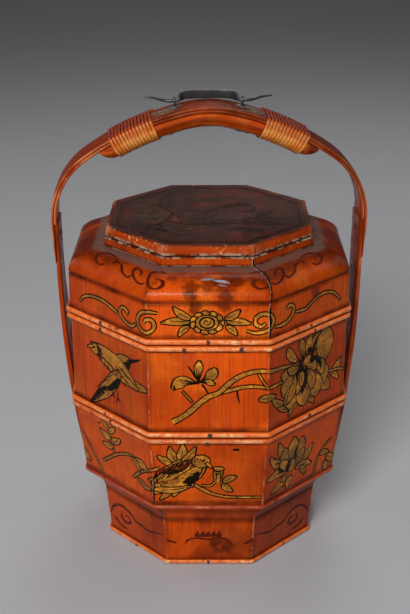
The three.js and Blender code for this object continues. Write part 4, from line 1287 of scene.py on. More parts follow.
def bail_rows():
    """Half the bail in its own plane: [x, y, half thickness, half width, roundness]."""
    eye, leg = PIN_SPREAD / 2, (PIN_SPREAD - 9) / 2
    inner, outer = eye - 1.6, eye + 1.6
    strap, wire, tip = (*STRAP_HALF, 0.45), (1.85, 1.85, 1), (0.9, 0.9, 1)

    def blend(first, second, share):
        return tuple(between(a, b, share) for a, b in zip(first, second))

    rows = [(leg * across, BAIL_REACH * reach, *size)
        for across, reach, size in ((0, 1, strap), (0.45, 0.985, strap), (0.78, 0.86, strap),
            (0.95, 0.6, strap), (1, 0.32, blend(strap, wire, 0.5)))]
    rows += [(between(leg, inner, across), 2.6 * reach, *wire)
        for across, reach in ((0.1, 0.8), (0.55, 0.12))]
    rows += [(x, 0, *wire) for x in (inner, eye, outer)]
    wing = ((0.14, 0.01), (0.38, 0.26), (0.68, 0.8), (1, 1))
    for place, (across, reach) in enumerate(wing):
        rows.append((between(outer, eye + BAIL_WING, across), 12 * reach, *blend(wire, tip, place / 3)))
    return rows


def smooth_line(points, steps):
    """Centripetal Catmull-Rom samples of rows of numbers. The first two of a row are its place."""
    run = [[2 * a - b for a, b in zip(points[0], points[1])], *points,
        [2 * a - b for a, b in zip(points[-1], points[-2])]]

    def mixed(first, second, start, stop, at):
        share = (at - start) / (stop - start)
        return [between(a, b, share) for a, b in zip(first, second)]

    made = []
    for near in zip(run, run[1:], run[2:], run[3:]):
        times = list(accumulate((max(dist(here[:2], after[:2]), 1e-6) ** 0.5
            for here, after in zip(near, near[1:])), initial=0))
        for step in range(steps):
            at = between(times[1], times[2], step / steps)
            lines = [mixed(near[i], near[i + 1], times[i], times[i + 1], at) for i in range(3)]
            bends = [mixed(lines[i], lines[i + 1], times[i], times[i + 2], at) for i in range(2)]
            made.append(mixed(*bends, times[1], times[2], at))
    return made + [list(points[-1])]


def bail():
    """A strap with bent legs, and the wings that reach past the pins."""
    half = bail_rows()
    rows = [(-x, *rest) for x, *rest in reversed(half[1:])] + half
    line = smooth_line(rows, 6)
    tilt = Matrix.Rotation(rest_tilt(), 3, "X")
    sections, along, run = [], [], 0
    for place, (x, y, thick, wide, roundness) in enumerate(line):
        before, after = line[max(place - 1, 0)], line[min(place + 1, len(line) - 1)]
        heading = Vector((after[0] - before[0], after[1] - before[1], 0)).normalized()
        across = Vector((-heading.y, heading.x, 0))
        beaten = 1 + 0.05 * noise.noise(Vector((x * 0.12, y * 0.1, 5)))
        section = []
        for step in range(16):
            turn = 2 * pi * step / 16
            cosine, sine = cos(turn), sin(turn)
            out = copysign(abs(cosine) ** roundness, cosine) * thick * beaten
            up = copysign(abs(sine) ** roundness, sine) * wide * beaten
            point = tilt @ (Vector((x, y, 0)) + across * out + Vector((0, 0, up)))
            section.append(twisted(point + Vector((0, 0, PIVOT))))
        sections.append(section)
        run += dist((x, y), before[:2])
        along.append(run)
    return lofted("iron_bail", sections, iron(), along=along)


# Nails and rivets


def heads(name, body, nodes, places, finish, radius, height=0.0009, shank=0.0007, length=0.0035):
    """Domed heads with their shanks. places lists (point in millimetres, way out, share of the size). The
    radius and height of a head and the radius and length of a shank are in metres."""
    points, outward, share = zip(*places)
    made = grown(name, source_mesh(name, points, outward=outward, share=share), head_tree,
        Head_Radius=radius, Head_Height=height, Shank_Radius=shank, Shank_Length=length, Finish=finish)
    keep(made, body, "iron", *nodes)


def on_wall(side, along, level, flat):
    """A point on a wall's side and its way out. Side 6 is the front one, and a point past the end of a
    side lies on the next one."""
    half = flat * SIDE_RATIO
    while abs(along) > half:
        hand = 1 if along > 0 else -1
        side, along = side + hand, along - hand * 2 * half
    turn = 2 * HALF_SIDE * side
    out = Vector((cos(turn), sin(turn), 0))
    return out * flat + Vector((-out.y, out.x, 0)) * along + Vector((0, 0, level)), out


def on_dome(side, along, rise):
    """A point on the domed shoulder. rise is in degrees, 0 at its foot and 90 at the collar."""
    turn = radians(rise)
    deep = DOME_FLATS[0] - DOME_FLATS[1]
    place, out = on_wall(side, along, between(*DOME, sin(turn)), DOME_FLATS[1] + deep * cos(turn))
    slope = Vector(((DOME[1] - DOME[0]) * cos(turn), deep * sin(turn))).normalized()
    return place, out * slope.x + Vector((0, 0, slope.y))


def on_cap(side, x, y):
    return Vector((x, y, CAP[1] - 0.4)), Vector((0, 0, 1))


# Painted ornament. Places on a wall are (distance along its side, level) in millimetres


OUTLINE = 1.4
UNDER, COAT, OVER = 0, 0.006, 0.011


class Paint:
    """Brushed shapes for one surface, kept as closed slabs for each kind of paint. Each new coat lies over
    the ones before it, as brush strokes do."""

    def __init__(self, place_at):
        self.place_at, self.side, self.flip, self.coat, self.slabs = place_at, 6, 1, 0, {}

    def on(self, side, flip=1):
        """Starts a drawing on a side. flip is -1 for a mirrored one."""
        self.side, self.flip, self.coat = side, flip, 0
        return self

    def ribbon(self, kind, rows, over):
        """rows lists (along, level, half width) down the middle of the shape."""
        points, out, lifts, faces = self.slabs.setdefault(kind, ([], [], [], []))
        lanes = max(1, min(12, ceil(2 * max(row[2] for row in rows) / 2.6)))
        first, wide = len(points), lanes + 1
        top = 0.09 + 0.014 * self.coat + over
        for height in (top, -0.3):
            for place, (along, level, half) in enumerate(rows):
                before, after = rows[max(place - 1, 0)], rows[min(place + 1, len(rows) - 1)]
                way = Vector((after[0] - before[0], after[1] - before[1])).normalized()
                for lane in range(wide):
                    reach = max(half, 0.1) * (2 * lane / lanes - 1)
                    spot, outward = self.place_at(self.side, (along - way.y * reach) * self.flip,
                        level + way.x * reach)
                    points.append(spot)
                    out.append(outward)
                    lifts.append((height - (0.003 if lane in (0, lanes) else 0)) * MM)
        under = len(rows) * wide
        grid = [range(first + row * wide, first + (row + 1) * wide) for row in range(len(rows))]
        for row, after in zip(grid, grid[1:]):
            for lane in range(lanes):
                square = (row[lane], row[lane + 1], after[lane + 1], after[lane])
                faces += [square, tuple(under + place for place in reversed(square))]
        rim = [row[0] for row in grid] + [*grid[-1][1:]] + [row[-1] for row in grid[-2::-1]] + [
            *grid[0][-2:0:-1]]
        faces += [(here, after, after + under, here + under) for here, after in zip(rim, rim[1:] + rim[:1])]

    def line(self, kind, points, width, tips=(0.3, 0.3), grow=0, over=OVER):
        """A brush stroke. width is one size, or one for each end."""
        start, end = width if isinstance(width, tuple) else (width, width)
        run = smooth_line([list(point) for point in points], 6) if len(points) > 2 else [
            [between(points[0][axis], points[1][axis], step / 8) for axis in (0, 1)] for step in range(9)]
        rows, last = [], len(run) - 1
        for place, (along, level) in enumerate(run):
            share = place / last
            full = min(1, between(tips[0], 1, min(share * 7, 1)),
                between(tips[1], 1, min((1 - share) * 7, 1)))
            pressed = 1 + 0.22 * noise.noise(Vector((along * 0.16, level * 0.16, self.coat * 0.7)))
            rows.append((along, level, between(start, end, share) / 2 * full * pressed + grow))
        self.ribbon(kind, rows, over)

    def strokes(self, kind, width, *runs):
        for run in runs:
            self.line(kind, run, width)

    def gilded(self, points, width, tips=(0.4, 0.4)):
        """A gold stroke with a dark edge."""
        self.coat += 1
        self.line("ink", points, width, tips, OUTLINE, UNDER)
        self.line("gold", points, width, tips, 0, COAT)

    def shape(self, kind, base, tip, width, bend=0.05, fullest=0.5, grow=0, over=OVER):
        """A leaf or petal from its base to its tip. fullest is where along it the width is greatest."""
        (x0, y0), (x1, y1) = base, tip
        length = dist(base, tip)
        ahead = ((x1 - x0) / length, (y1 - y0) / length)
        power = log(0.5) / log(fullest)
        rows = []
        for step in range(15):
            share = step / 14
            sway = bend * length * sin(pi * share)
            run = between(-grow, length + grow, share)
            full = max(sin(pi * min(max(share, 0.02), 0.98) ** power), 0) ** 0.8
            wobble = 1 + 0.1 * noise.noise(Vector((x1 * 0.3 + share * 3, y1 * 0.3, 4)))
            rows.append((x0 + ahead[0] * run - ahead[1] * sway, y0 + ahead[1] * run + ahead[0] * sway,
                width / 2 * full * wobble + grow * 0.9))
        self.ribbon(kind, rows, over)
        return [row[:2] for row in rows]

    def leaf(self, base, tip, width, bend=0.1, fullest=0.42, vein=True):
        self.coat += 1
        self.shape("ink", base, tip, width, bend, fullest, OUTLINE, UNDER)
        middle = self.shape("gold", base, tip, width, bend, fullest, 0, COAT)
        if vein:
            self.line("ink", middle[1:12:3], (1.1, 0.6))

    def leaves(self, *rows):
        """Each row is (base along, base level, tip along, tip level, width) and what else leaf takes."""
        for x0, y0, x1, y1, *more in rows:
            self.leaf((x0, y0), (x1, y1), *more)

    def shapes(self, kind, *rows):
        """Rows as for leaves, of shapes without an edge."""
        for x0, y0, x1, y1, *more in rows:
            self.shape(kind, (x0, y0), (x1, y1), *more)

    def petals(self, *rows, strands=3):
        """Leaves that are widest near the tip, with strands of shading from the base."""
        for x0, y0, x1, y1, width, bend in rows:
            base, turn = Vector((x0, y0)), Vector((x1 - x0, y1 - y0))
            self.leaf((x0, y0), (x1, y1), width, bend, 0.64, False)
            side_way = Vector((-turn.y, turn.x)).normalized()
            for strand in range(strands):
                across = (strand - (strands - 1) / 2) / max(strands, 1)
                aside = side_way * (width * across * 0.8 + bend * turn.length * 0.8)
                end = base + turn * (0.56 + 0.14 * sin(strand * 2.4 + x1)) + aside
                self.line("ink", [tuple(base), tuple(base + turn * 0.3 + aside * 0.6), tuple(end)],
                    (1.5, 0.5))

    def blob(self, kind, centre, size, grow=0, over=OVER):
        (x, y), (wide, high) = centre, (size[0] + grow, size[1] + grow)
        turns = [pi * (1 - step / 12) for step in range(13)]
        self.ribbon(kind, [(x + wide * cos(turn), y, high * sin(turn) ** 0.9 + 0.02) for turn in turns],
            over)

    def disc(self, centre, size):
        self.coat += 1
        self.blob("ink", centre, size, OUTLINE, UNDER)
        self.blob("gold", centre, size, 0, COAT)

    def knots(self, *points):
        """Short dark dabs along a branch."""
        for place, (x, y) in enumerate(points):
            lean = 0.8 * sin(place * 1.7)
            self.line("ink", [(x - 1.3, y + lean), (x + 1.3, y - lean * 0.6)], 0.8)

    def feathers(self, *rows, kind="ink"):
        """Short even strokes. Each row is (how many, where the first one begins, where the last one begins,
        how far each one runs, its width at both ends)."""
        for count, x0, y0, x1, y1, run, rise, *width in rows:
            for place in range(count):
                x, y = between(x0, x1, place / (count - 1)), between(y0, y1, place / (count - 1))
                bow = 0.12 * sin(place * 1.9)
                self.line(kind, [(x, y), (x + run * (0.5 + bow), y + rise * (0.5 - bow)),
                    (x + run, y + rise)], tuple(width))

    def lay(self, name, surface, body, slot="lacquer"):
        """Makes the pieces, one for each kind of paint, and lays them on a finished piece."""
        for kind, (points, out, lifts, faces) in self.slabs.items():
            finish = shared(paint_finish, f"Paint {kind}", *PAINTS[kind])
            made = grown(f"{name}_{kind}", source_mesh(name, points, (), faces, outward=out, lift=lifts),
                paint_tree, Surface=surface, Finish=finish)
            keep(made, body, slot)


# Each kind of paint: its colour, the darker and the lighter one in it, and how much has rubbed off
PAINTS = {"gold": (("gold",), ((0.22, 0.09, 0.018),), ("gold", 1.9), 0.14),
    "ink": (("ink",), ("ink", 0.4), ("ink", 1.6), 0.06),
    "old": (("old_paint",), ("old_paint", 0.35), ("lacquer", 0.3), 0.2),
    "dim": (((0.06, 0.037, 0.017),), ((0.02, 0.011, 0.007),), ((0.1, 0.066, 0.032),), 0.5),
    "shadow": (("cap", 0.5), ("cap", 0.3), ("cap", 0.8), 0.5),
    "bloom": (((0.3, 0.31, 0.36),), ((0.12, 0.09, 0.09),), ((0.5, 0.5, 0.56),), 0.3),
    "crack": (((0.004, 0.003, 0.002),), ((0.001, 0.001, 0.001),), ((0.02, 0.01, 0.006),), 0),
    "chip": (((0.5, 0.34, 0.22),), ((0.3, 0.13, 0.06),), ((0.7, 0.58, 0.44),), 0.45)}


def circled(x, y, wide, high, count, start=0):
    """Places round an oval."""
    turns = [2 * pi * (place + start) / count for place in range(count)]
    return [(x + wide * cos(turn), y + high * sin(turn)) for turn in turns]


def band_scrolls(paint):
    """The rosette with its leaves, and a scroll to each side of it."""
    paint.leaves((19, 309, 42, 307.5, 7, 0.05), (-19, 309, -46, 308, 7.5, -0.05),
        (17, 313, 31, 322, 6.5, -0.1), (-17, 313, -34, 325, 7), (18, 304, 28, 295, 6, 0.12),
        (-19, 304, -29, 294, 6, -0.12))
    for spot in circled(-1, 308.5, 12.5, 8.6, 11):
        paint.disc(spot, (4.2, 3.6))
    paint.disc((-1, 308.5), (11, 7.4))
    paint.line("ink", circled(-1, 308.5, 7.4, 5.8, 12) + [(6.4, 308.5)], 2, (1, 1))
    paint.strokes("ink", 1.2, [(-4.4, 306.4), (-2.4, 311.4), (0.4, 308.6)],
        [(-2.6, 306), (1.8, 307), (2.4, 310.6)])
    for inner, outer in zip(circled(-1, 308.5, 10, 7.4, 11, 0.5), circled(-1, 308.5, 14.6, 10.2, 11, 0.5)):
        paint.line("ink", [inner, outer], 0.9)
    for points, width in (
            ([(38, 300), (46, 297.5), (56, 299), (64, 304), (66, 311), (61, 317), (53, 317.5), (47, 313),
            (47.5, 306.5), (53, 304.5), (57, 308)], 3),
            ([(68, 302), (78, 301), (88, 303), (95, 309), (95.5, 316), (89.5, 319), (85, 315.5)], 2.7),
            ([(99, 309), (106, 308.5), (114, 308), (122, 311.5), (133, 316), (146, 317), (158, 313.5),
            (166, 307), (170, 302)], (2.7, 1.6)),
            ([(-50, 318.5), (-60, 320), (-69, 316.5), (-74, 309), (-72, 301.5), (-65, 297.5), (-57, 299),
            (-53.5, 305), (-56, 311), (-62, 311.5), (-64.5, 307)], 3),
            ([(-76, 303), (-83, 298.5), (-92, 300), (-99, 304.5), (-100.5, 311), (-95, 315), (-89.5, 312),
            (-91, 308.5)], 2.7),
            ([(-104, 306), (-112, 309), (-124, 312.5), (-138, 313.5), (-150, 312), (-160, 308),
            (-166, 301.5)], (2.7, 1.6))):
        paint.gilded(points, width)


def flying_bird(paint):
    """A small bird that flies towards the left."""
    paint.leaves((22, 231, 61, 231, 9, 0.02, 0.5, False))
    paint.feathers((3, 34, 228, 36, 234, 24, 1.2, 1.3, 0.5))
    paint.leaves((5, 245, 36, 257, 11, 0.1, 0.5, False))
    paint.feathers((4, 10, 245, 24, 250, 7, 5, 0.9, 0.5))
    paint.shapes("ink", (17, 243, 35, 258, 9, -0.1), (29, 256, 52, 265, 4, -0.05, 0.35))
    paint.leaves((-29, 257, 44, 228, 24, 0.03, 0.5, False), (16, 238, -33, 187, 17, 0.04, 0.34, False))
    paint.shapes("ink", (16, 231, -14, 208, 8.5, 0.1, 0.35), (-6, 214, -35, 185, 8, 0, 0.35))
    paint.coat += 3
    paint.feathers((7, 6, 232, -17, 212, -8, -5, 1.1, 0.5))
    paint.feathers((5, -6, 212, -24, 196, 3, -5, 0.9, 0.5), kind="gold")
    paint.feathers((7, -16, 250, 22, 236, 7, -5, 1.4, 0.6), (7, -14, 243, 20, 229, 6, -4, 1.3, 0.6),
        (5, 10, 243, 32, 236, 7, -3, 1.2, 0.5))
    paint.feathers((6, -10, 247, 26, 233, 9, -7, 1.8, 0.7), kind="old")
    paint.feathers((6, -20, 249, 10, 236, 5, -8, 1.2, 0.5), (8, 16, 246, 40, 233, 7, -6, 1.5, 0.6))
    paint.disc((-22, 253), (6.6, 5.6))
    paint.coat += 2
    paint.leaves((-26, 255, -35, 252, 3, 0, 0.3, False))
    paint.blob("ink", (-23, 254.6), (1.5, 1.3))
    paint.feathers((6, -19, 259, -13, 256, 2, -14, 1.6, 0.7))
    paint.strokes("ink", 1.5, [(5, 215), (4, 209), (1, 205)], [(4, 209), (8, 205)],
        [(13, 216), (12, 207), (9, 200)], [(12, 207), (16, 204)])


def blossom_branch(paint):
    """A branch that rises to the right and carries one opening flower."""
    paint.strokes("ink", (2.6, 1.4), [(29, 235), (30, 226), (32, 218)], [(-7, 241), (-3, 235), (1, 228)],
        [(-12, 246), (-16, 254), (-21, 261)])
    paint.gilded([(-27, 233), (-22, 227), (-16, 219)], 1.4)
    paint.gilded([(50, 253), (55, 244), (62, 234)], 1.5)
    paint.leaves((52, 222, 72, 223, 7.5, 0.08))
    paint.gilded([(12, 231), (24, 234), (36, 237), (50, 237.5), (66, 235), (84, 235), (98, 229)], (3.4, 2),
        (1, 0.5))
    paint.gilded([(-37, 197), (-28, 202), (-20, 208), (-11, 217), (0, 226), (11, 231), (20, 240),
        (31, 248.5), (43, 253.5), (54, 255), (70, 253), (88, 251), (104, 248)], (5.4, 2.8), (1, 0.5))
    paint.knots((-31, 201), (-22, 208), (-15, 214), (-4, 224), (5, 228), (17, 237), (27, 246), (38, 252),
        (64, 254), (80, 252), (24, 234), (34, 237), (46, 238), (58, 236.5))
    paint.petals((-12, 241, -36, 235, 12, -0.24), strands=4)
    paint.petals((-10, 244, -9, 266, 7.5, 0.03), (-7, 244, 7, 258, 11, -0.12), (-7, 243, 6, 240, 5.5, 0.1))
    paint.strokes("ink", 2.4, [(-12, 240.6), (-9, 242.6), (-6, 243.4)], [(-35, 239), (-34, 233)])


def peony(paint):
    """A full flower with leaves round it."""
    paint.leaves((-34, 207, -55, 222, 8.5), (-30, 200, -46, 207, 6, 0), (-8, 206, -29, 192, 8, -0.15),
        (-4, 206, 10, 193, 8, 0.15), (20, 216, 36, 202, 15, 0.05), (40, 219, 53, 233, 9, -0.1),
        (38, 219, 50, 209, 6))
    paint.gilded([(18, 229), (28, 224), (40, 222), (52, 220), (62, 216)], (2.2, 1.4))
    paint.petals((-12, 250, -33, 271, 10, 0.12), (-9, 250, -13, 275, 9, -0.05), (-2, 250, 3, 275, 10, 0.04),
        (6, 250, 16, 274, 10, 0.08), strands=2)
    paint.petals((25, 231, 28, 277, 27, 0.02), strands=4)
    paint.shapes("ink", (4, 250, 16, 272, 5))
    paint.petals((-18, 240, -41, 244, 14, 0.1), (-18, 236, -38, 218, 19, -0.1), (12, 240, 25, 212, 22, 0.1),
        (0, 232, 14, 201, 24, 0.1), (-14, 232, -27, 200, 22, -0.12), (-8, 230, -6, 197, 22, 0), strands=4)
    paint.coat += 2
    paint.petals((-22, 242, -33, 208, 9, 0.14), (8, 246, 23, 224, 12, 0.15), (-12, 247, -32, 247, 10, 0.2),
        strands=2)
    paint.shapes("ink", (-15, 246, -9, 211, 14, 0.1), (4, 250, 21, 229, 6, 0.18))
    paint.petals((-17, 241, -18, 214, 9, 0.16), (-8, 244, 13, 234, 12, 0.1), (-3, 238, 6, 212, 13, 0.14),
        (-12, 245, 3, 252, 9, -0.1), strands=2)
    paint.disc((-10, 229), (3.6, 8))
    paint.feathers((5, -12.4, 233, -8, 224, 1.2, -3, 1, 0.5))
    paint.blob("ink", (1, 259), (3.4, 3))
    paint.blob("ink", (6, 246), (4.2, 3.8))


def perched_bird(paint):
    """A plump bird on a branch among leaves, a bud to its right."""
    paint.gilded([(-92, 113), (-80, 125), (-66, 134), (-50, 141)], (2.8, 2), (0.5, 1))
    paint.gilded([(-20, 122), (-8, 114), (4, 107), (18, 103.5), (36, 102.5), (60, 103)], (3, 1.6), (1, 0.5))
    paint.knots((-8, 115), (2, 109), (16, 104.5), (30, 103), (46, 102.6), (-74, 130))
    paint.leaves((-34, 146, -53, 156, 8), (-33, 148, -40, 167, 9), (-30, 148, -27, 170, 10, -0.05),
        (-28, 148, -14, 167, 8, -0.1), (-44, 120, -60, 108, 8), (-46, 124, -66, 121, 8, -0.1),
        (-40, 118, -52, 100, 7), (16, 122, 29, 129, 7), (15, 120, 25, 111, 7, -0.1),
        (-30, 116, -38, 104, 6, 0), (-30, 150, -48, 140, 7, 0.15))
    paint.gilded([(-8, 118), (2, 118), (8, 124)], 1.4)
    paint.gilded([(9, 122), (9.6, 130), (10.4, 139)], (5, 9.6), (1, 1))
    paint.disc((10.5, 139.5), (5.2, 2))
    paint.feathers((3, 5.6, 132, 5.8, 136, 8.6, -0.4, 1.3, 1))
    paint.strokes("ink", 1.4, [(7.6, 124), (8.6, 134)], [(12.6, 126), (12.8, 135)])
    paint.leaves((-4, 147, -62, 119, 29, 0.05, 0.42, False), (-20, 117, -60, 114, 8.5, 0.08, 0.5),
        (-8, 143, -50, 118, 13, 0.12, 0.4, False))
    paint.shapes("ink", (-10, 136, -28, 121, 10, 0.1, 0.45), (-24, 140, -52, 134, 6, 0.05, 0.45))
    paint.coat += 3
    paint.feathers((9, -12, 150, -50, 140, -7, -9, 4.4, 2),
        (6, -26, 128, -52, 122, -7, -2, 2.6, 1), kind="old")
    paint.coat += 1
    paint.feathers((9, -20, 152, -54, 133, -5, -8, 2, 0.8), (10, -16, 146, -54, 127, -5, -7, 1.8, 0.7),
        (7, -10, 148, -42, 138, -4, -6, 1.2, 0.5), (6, -18, 124, -48, 119, -7, 2, 1.2, 0.5),
        (6, -14, 152, -40, 145, -5, -3, 1.2, 0.5))
    paint.feathers((5, -16, 132, -40, 124, -6, -2, 1, 0.5), kind="gold")
    paint.disc((-8, 149), (9, 7.4))
    paint.coat += 2
    paint.feathers((5, -13, 154, -3, 152, -2, -6, 1.7, 0.8), kind="old")
    paint.leaves((-2, 147, 3, 141, 3.4, 0, 0.3, False))
    paint.blob("ink", (-6, 150), (1.5, 1.3))
    paint.feathers((5, -14, 154, -12, 143, -4, -1, 1.2, 0.5))
    paint.strokes("ink", 1.3, [(-22, 123), (-21, 118), (-24, 115)], [(-16, 123), (-15, 118), (-18, 115)])


def sprig(paint):
    """A twig with leaves that joins the perched bird's branch."""
    paint.gilded([(-27, 93), (-35, 109), (-46, 126), (-61, 146)], (1.8, 1.2))
    paint.leaves((-48, 104, -57, 117, 7), (34, 116, 54, 110, 7, -0.1))
    paint.gilded([(-26, 113), (-14, 122), (0, 132), (14, 139), (30, 143)], (2.4, 1.8))
    paint.gilded([(-3, 131), (-5, 146), (-9, 166)], (1.6, 1))
    paint.leaves((-6, 150, -23, 156, 8), (-5, 148, 10, 155, 8, -0.1), (-4, 141, -21, 140, 7),
        (-8, 160, -17, 169, 6, 0), (-7, 158, 3, 166, 6, 0), (32, 140, 52, 132, 8), (28, 140, 38, 126, 6))
    paint.knots((-20, 118), (-6, 127), (6, 136), (22, 141))


def small_bloom(paint):
    """A flower seen from the side, with its leaves and a curled stem."""
    paint.leaves((-24, 128, -52, 150, 11), (-26, 122, -54, 120, 10, -0.1), (-24, 116, -46, 102, 9),
        (-20, 134, -40, 163, 11), (-6, 122, 17, 140, 9, -0.1), (-8, 118, 18, 114, 9),
        (-16, 112, -20, 97, 8, 0), (0, 116, 8, 104, 7))
    paint.petals((-17, 124, -30, 152, 15, 0.1), (-17, 124, -2, 156, 14, -0.1), (-17, 124, -16, 161, 15, 0),
        (-17, 124, -34, 138, 12, 0.1), (-17, 124, 2, 140, 12, -0.1), strands=4)
    paint.disc((-17, 126), (7, 7.5))
    paint.shapes("ink", (-21, 119, -18, 136, 7, 0.1), (-27, 122, -38, 132, 5, 0.1),
        (-12, 134, -9, 148, 4, 0.1))
    paint.feathers((7, -48, 146, -30, 104, 9, -3, 1.5, 0.6), (5, -10, 132, 8, 122, 6, 6, 1.3, 0.5))
    paint.gilded([(24, 94), (27, 108), (31, 119), (40, 129), (50, 134)], (1.8, 1.2))
    paint.leaves((31, 120, 47, 116, 6), (44, 112, 57, 100, 9), (42, 106, 46, 94, 7, 0))


def end_roundel(paint):
    """A round flower in a curved stem, on the sides under the uprights."""
    for hand in (-1, 1):
        paint.gilded([(hand * x, y) for x, y in ((30, 92), (38, 112), (36, 134), (26, 152), (10, 166))],
            (2, 1.4))
        for (x0, y0), (x1, y1) in zip(circled(hand * 47, 128, 2, 2, 8), circled(hand * 47, 128, 8, 9, 8)):
            paint.petals((x0, y0, x1, y1, 5.5, 0.05), strands=1)
        paint.disc((hand * 47, 128), (2.6, 2.8))
        paint.leaves((hand * 40, 108, hand * 54, 99, 7, 0.1), (hand * 38, 142, hand * 50, 156, 7, -0.1))


def foot_waves(paint):
    """A faded wave with a loop at each end."""
    paint.strokes("old", (3.8, 2.4), [(-46, 26), (-39, 38), (-26, 45), (-11, 42), (0, 34), (9, 33),
        (20, 31), (36, 36), (47, 39)], [(-24, 36), (-26, 28), (-18, 24), (-11, 28), (-14, 34), (-20, 33)],
        [(-40, 24), (-30, 16), (-18, 15)])


def foot_lotus(paint):
    """A row of flame-like petals and the ends of a wave."""
    for along in (-13, -7, -1, 5, 11):
        paint.shape("old", (along, 37), (along + 1, 46), 6.6, 0.05, 0.2)
    paint.strokes("old", 2.6, [(-48, 33), (-40, 30), (-36, 29)],
        [(-27, 27), (-23, 33), (-14, 35.5), (0, 34), (12, 36), (20, 33), (26, 28)],
        [(38, 27), (44, 31), (50, 35)])


def dome_scrolls(paint):
    """Faded scrolls at the corners of the dome and on the faces beside them. Levels are degrees of its
    rise."""
    for hand in (-1, 1):
        for run in (((40, 66), (47, 72), (56, 68), (61, 52), (58, 34), (51, 30), (45, 38), (46, 50),
                (52, 52)), ((64, 40), (72, 34), (80, 40), (84, 54), (79, 64), (72, 60), (73, 50)),
                ((84, 46), (91, 38), (99, 44), (103, 58), (111, 62), (117, 54)),
                ((108, 66), (122, 74), (136, 68), (143, 52), (136, 42), (127, 48))):
            paint.line("old", [(hand * along, rise) for along, rise in run], 4.3)
    for x0, y0, x1, y1, width in ((-8, 50, 7, 53, 5), (4, 50, 22, 42, 6), (10, 39, 19, 35, 3)):
        paint.shape("bloom", (x0, y0), (x1, y1), width, 0.06)


def cap_picture(paint):
    """A dim tree, flowers and a bird on the cap, and a line inside its frame."""
    for x0, y0, x1, y1, width in ((-30, -50, -78, -30, 20), (-40, -20, -86, 6, 22), (-50, 6, -78, 46, 24),
            (-42, 20, -44, 70, 20), (-26, -30, -10, 14, 20), (-14, -28, 18, 12, 22), (-2, -42, 32, -22, 18),
            (-12, -46, -44, -58, 16), (30, -34, 74, -16, 14), (36, -42, 86, -40, 16), (14, 16, 44, 34, 14),
            (-64, -48, -30, -72, 16), (50, -22, 70, 4, 10), (26, -52, 60, -64, 12), (-24, 30, -6, 52, 12)):
        paint.coat += 1
        paint.shape("shadow" if x0 > 0 else "dim", (x0, y0), (x1, y1), width, 0.12)
    paint.strokes("shadow", (5, 2.4), [(-84, -60), (-62, -48), (-46, -26), (-40, 2), (-56, 30), (-48, 64)],
        [(-46, -26), (-20, -38), (8, -36), (36, -34), (62, -28), (84, -20)],
        [(-6, -22), (2, 10), (20, 28), (40, 30), (50, 18), (42, 6), (30, 8)])
    reach = (CAP_FLATS[1] - 12.5) / cos(HALF_SIDE)
    corners = circled(0, 0, reach, reach, SIDES, 0.5)
    for here, after in zip(corners, corners[1:] + corners[:1]):
        paint.line("shadow", [here, after], 1, (1, 1))


# Operators, one for each piece or group of like pieces


def walls(name, body, nodes, flats, levels, finish, thick=WALL):
    """Eight wall boards as one shell, mitred at its corners."""
    piece = shell(name, wall_outline(flats, levels, thick), finish, bpy.context.scene.basket_sizes.corner)
    keep(piece, body, "lacquer", *nodes)


def eight(name):
    return [f"{name}_{place}" for place in range(1, SIDES + 1)]


class BASKET_OT_foot(Operator):
    """Build the splayed foot, the hollow cove above it and the foot's bead"""

    bl_idname = "basket.foot"
    bl_label = "Foot and cove"

    def execute(self, context):
        lacquer = shared(lacquer_finish, "Foot lacquer", deep=0.8, tone=0.8, glow=0.12, slanted=0.3,
            grime_at=((0, 14), (FOOT_TOP, 7)),
            stains=((8, 116, 30, 10), (20, 116, 26, 12), (14, 116, 19, 11)))
        walls("foot_boards", "base", ["foot_ring"], FOOT_FLATS, (FOOT_BASE, FOOT_TOP), lacquer,
            FOOT_WALL)
        base, top = FOOT_TOP + SEAT, LOWER[0] - SEAT
        outline = [(between(FOOT_FLATS[1], COVE_TOP_FLAT, share) - COVE_HOLLOW * sin(pi * share),
            between(base, top, share)) for share in spaced(0, 1, count=12)]
        outline += [(COVE_TOP_FLAT - COVE_WALL, top), (FOOT_FLATS[1] - FOOT_WALL, base)]
        cove = shell("cove_moulding", divided(softened(outline, 0.8), 12), lacquer,
            context.scene.basket_sizes.corner)
        keep(cove, "base", "lacquer", "foot_cove")
        bead("foot_hoop", "base", "foot_bead", foot_wall, 0.5, height=5.8, proud=2.8)
        return {"FINISHED"}


class BASKET_OT_lower_tier(Operator):
    """Build the lower tier's leaning walls and their two beads"""

    bl_idname = "basket.lower_tier"
    bl_label = "Lower tier"

    def execute(self, context):
        lacquer = shared(lacquer_finish, "Lower tier lacquer", deep=0.6, tone=0.9, glow=0.2, slanted=0.12,
            grime_at=((LOWER[0] + 9, 5), (LOWER[1] - 7.6, 3.4)))
        walls("lower_tier_walls", "base", eight("lower_wall"), LOWER_FLATS, LOWER, lacquer)
        bead("lower_red_hoop", "base", "lower_bottom_bead", lower_wall, LOWER[0] + 1.4, height=5, proud=2,
            finish=shared(bead_finish, "Red bead", base=(150, 44, 22), crest_share=0.34), knuckle=0.0,
            slot="red_bead")
        bead("lower_rim_hoop", "base", "lower_rim_bead", lower_wall, LOWER[1] - RIM_BEAD_DROP,
            finish=shared(bead_finish, "Dark bead", base=(196, 80, 24), crest_share=0.95))
        dress(bare(), "lower_floor", "lower_nesting_ring")
        return {"FINISHED"}


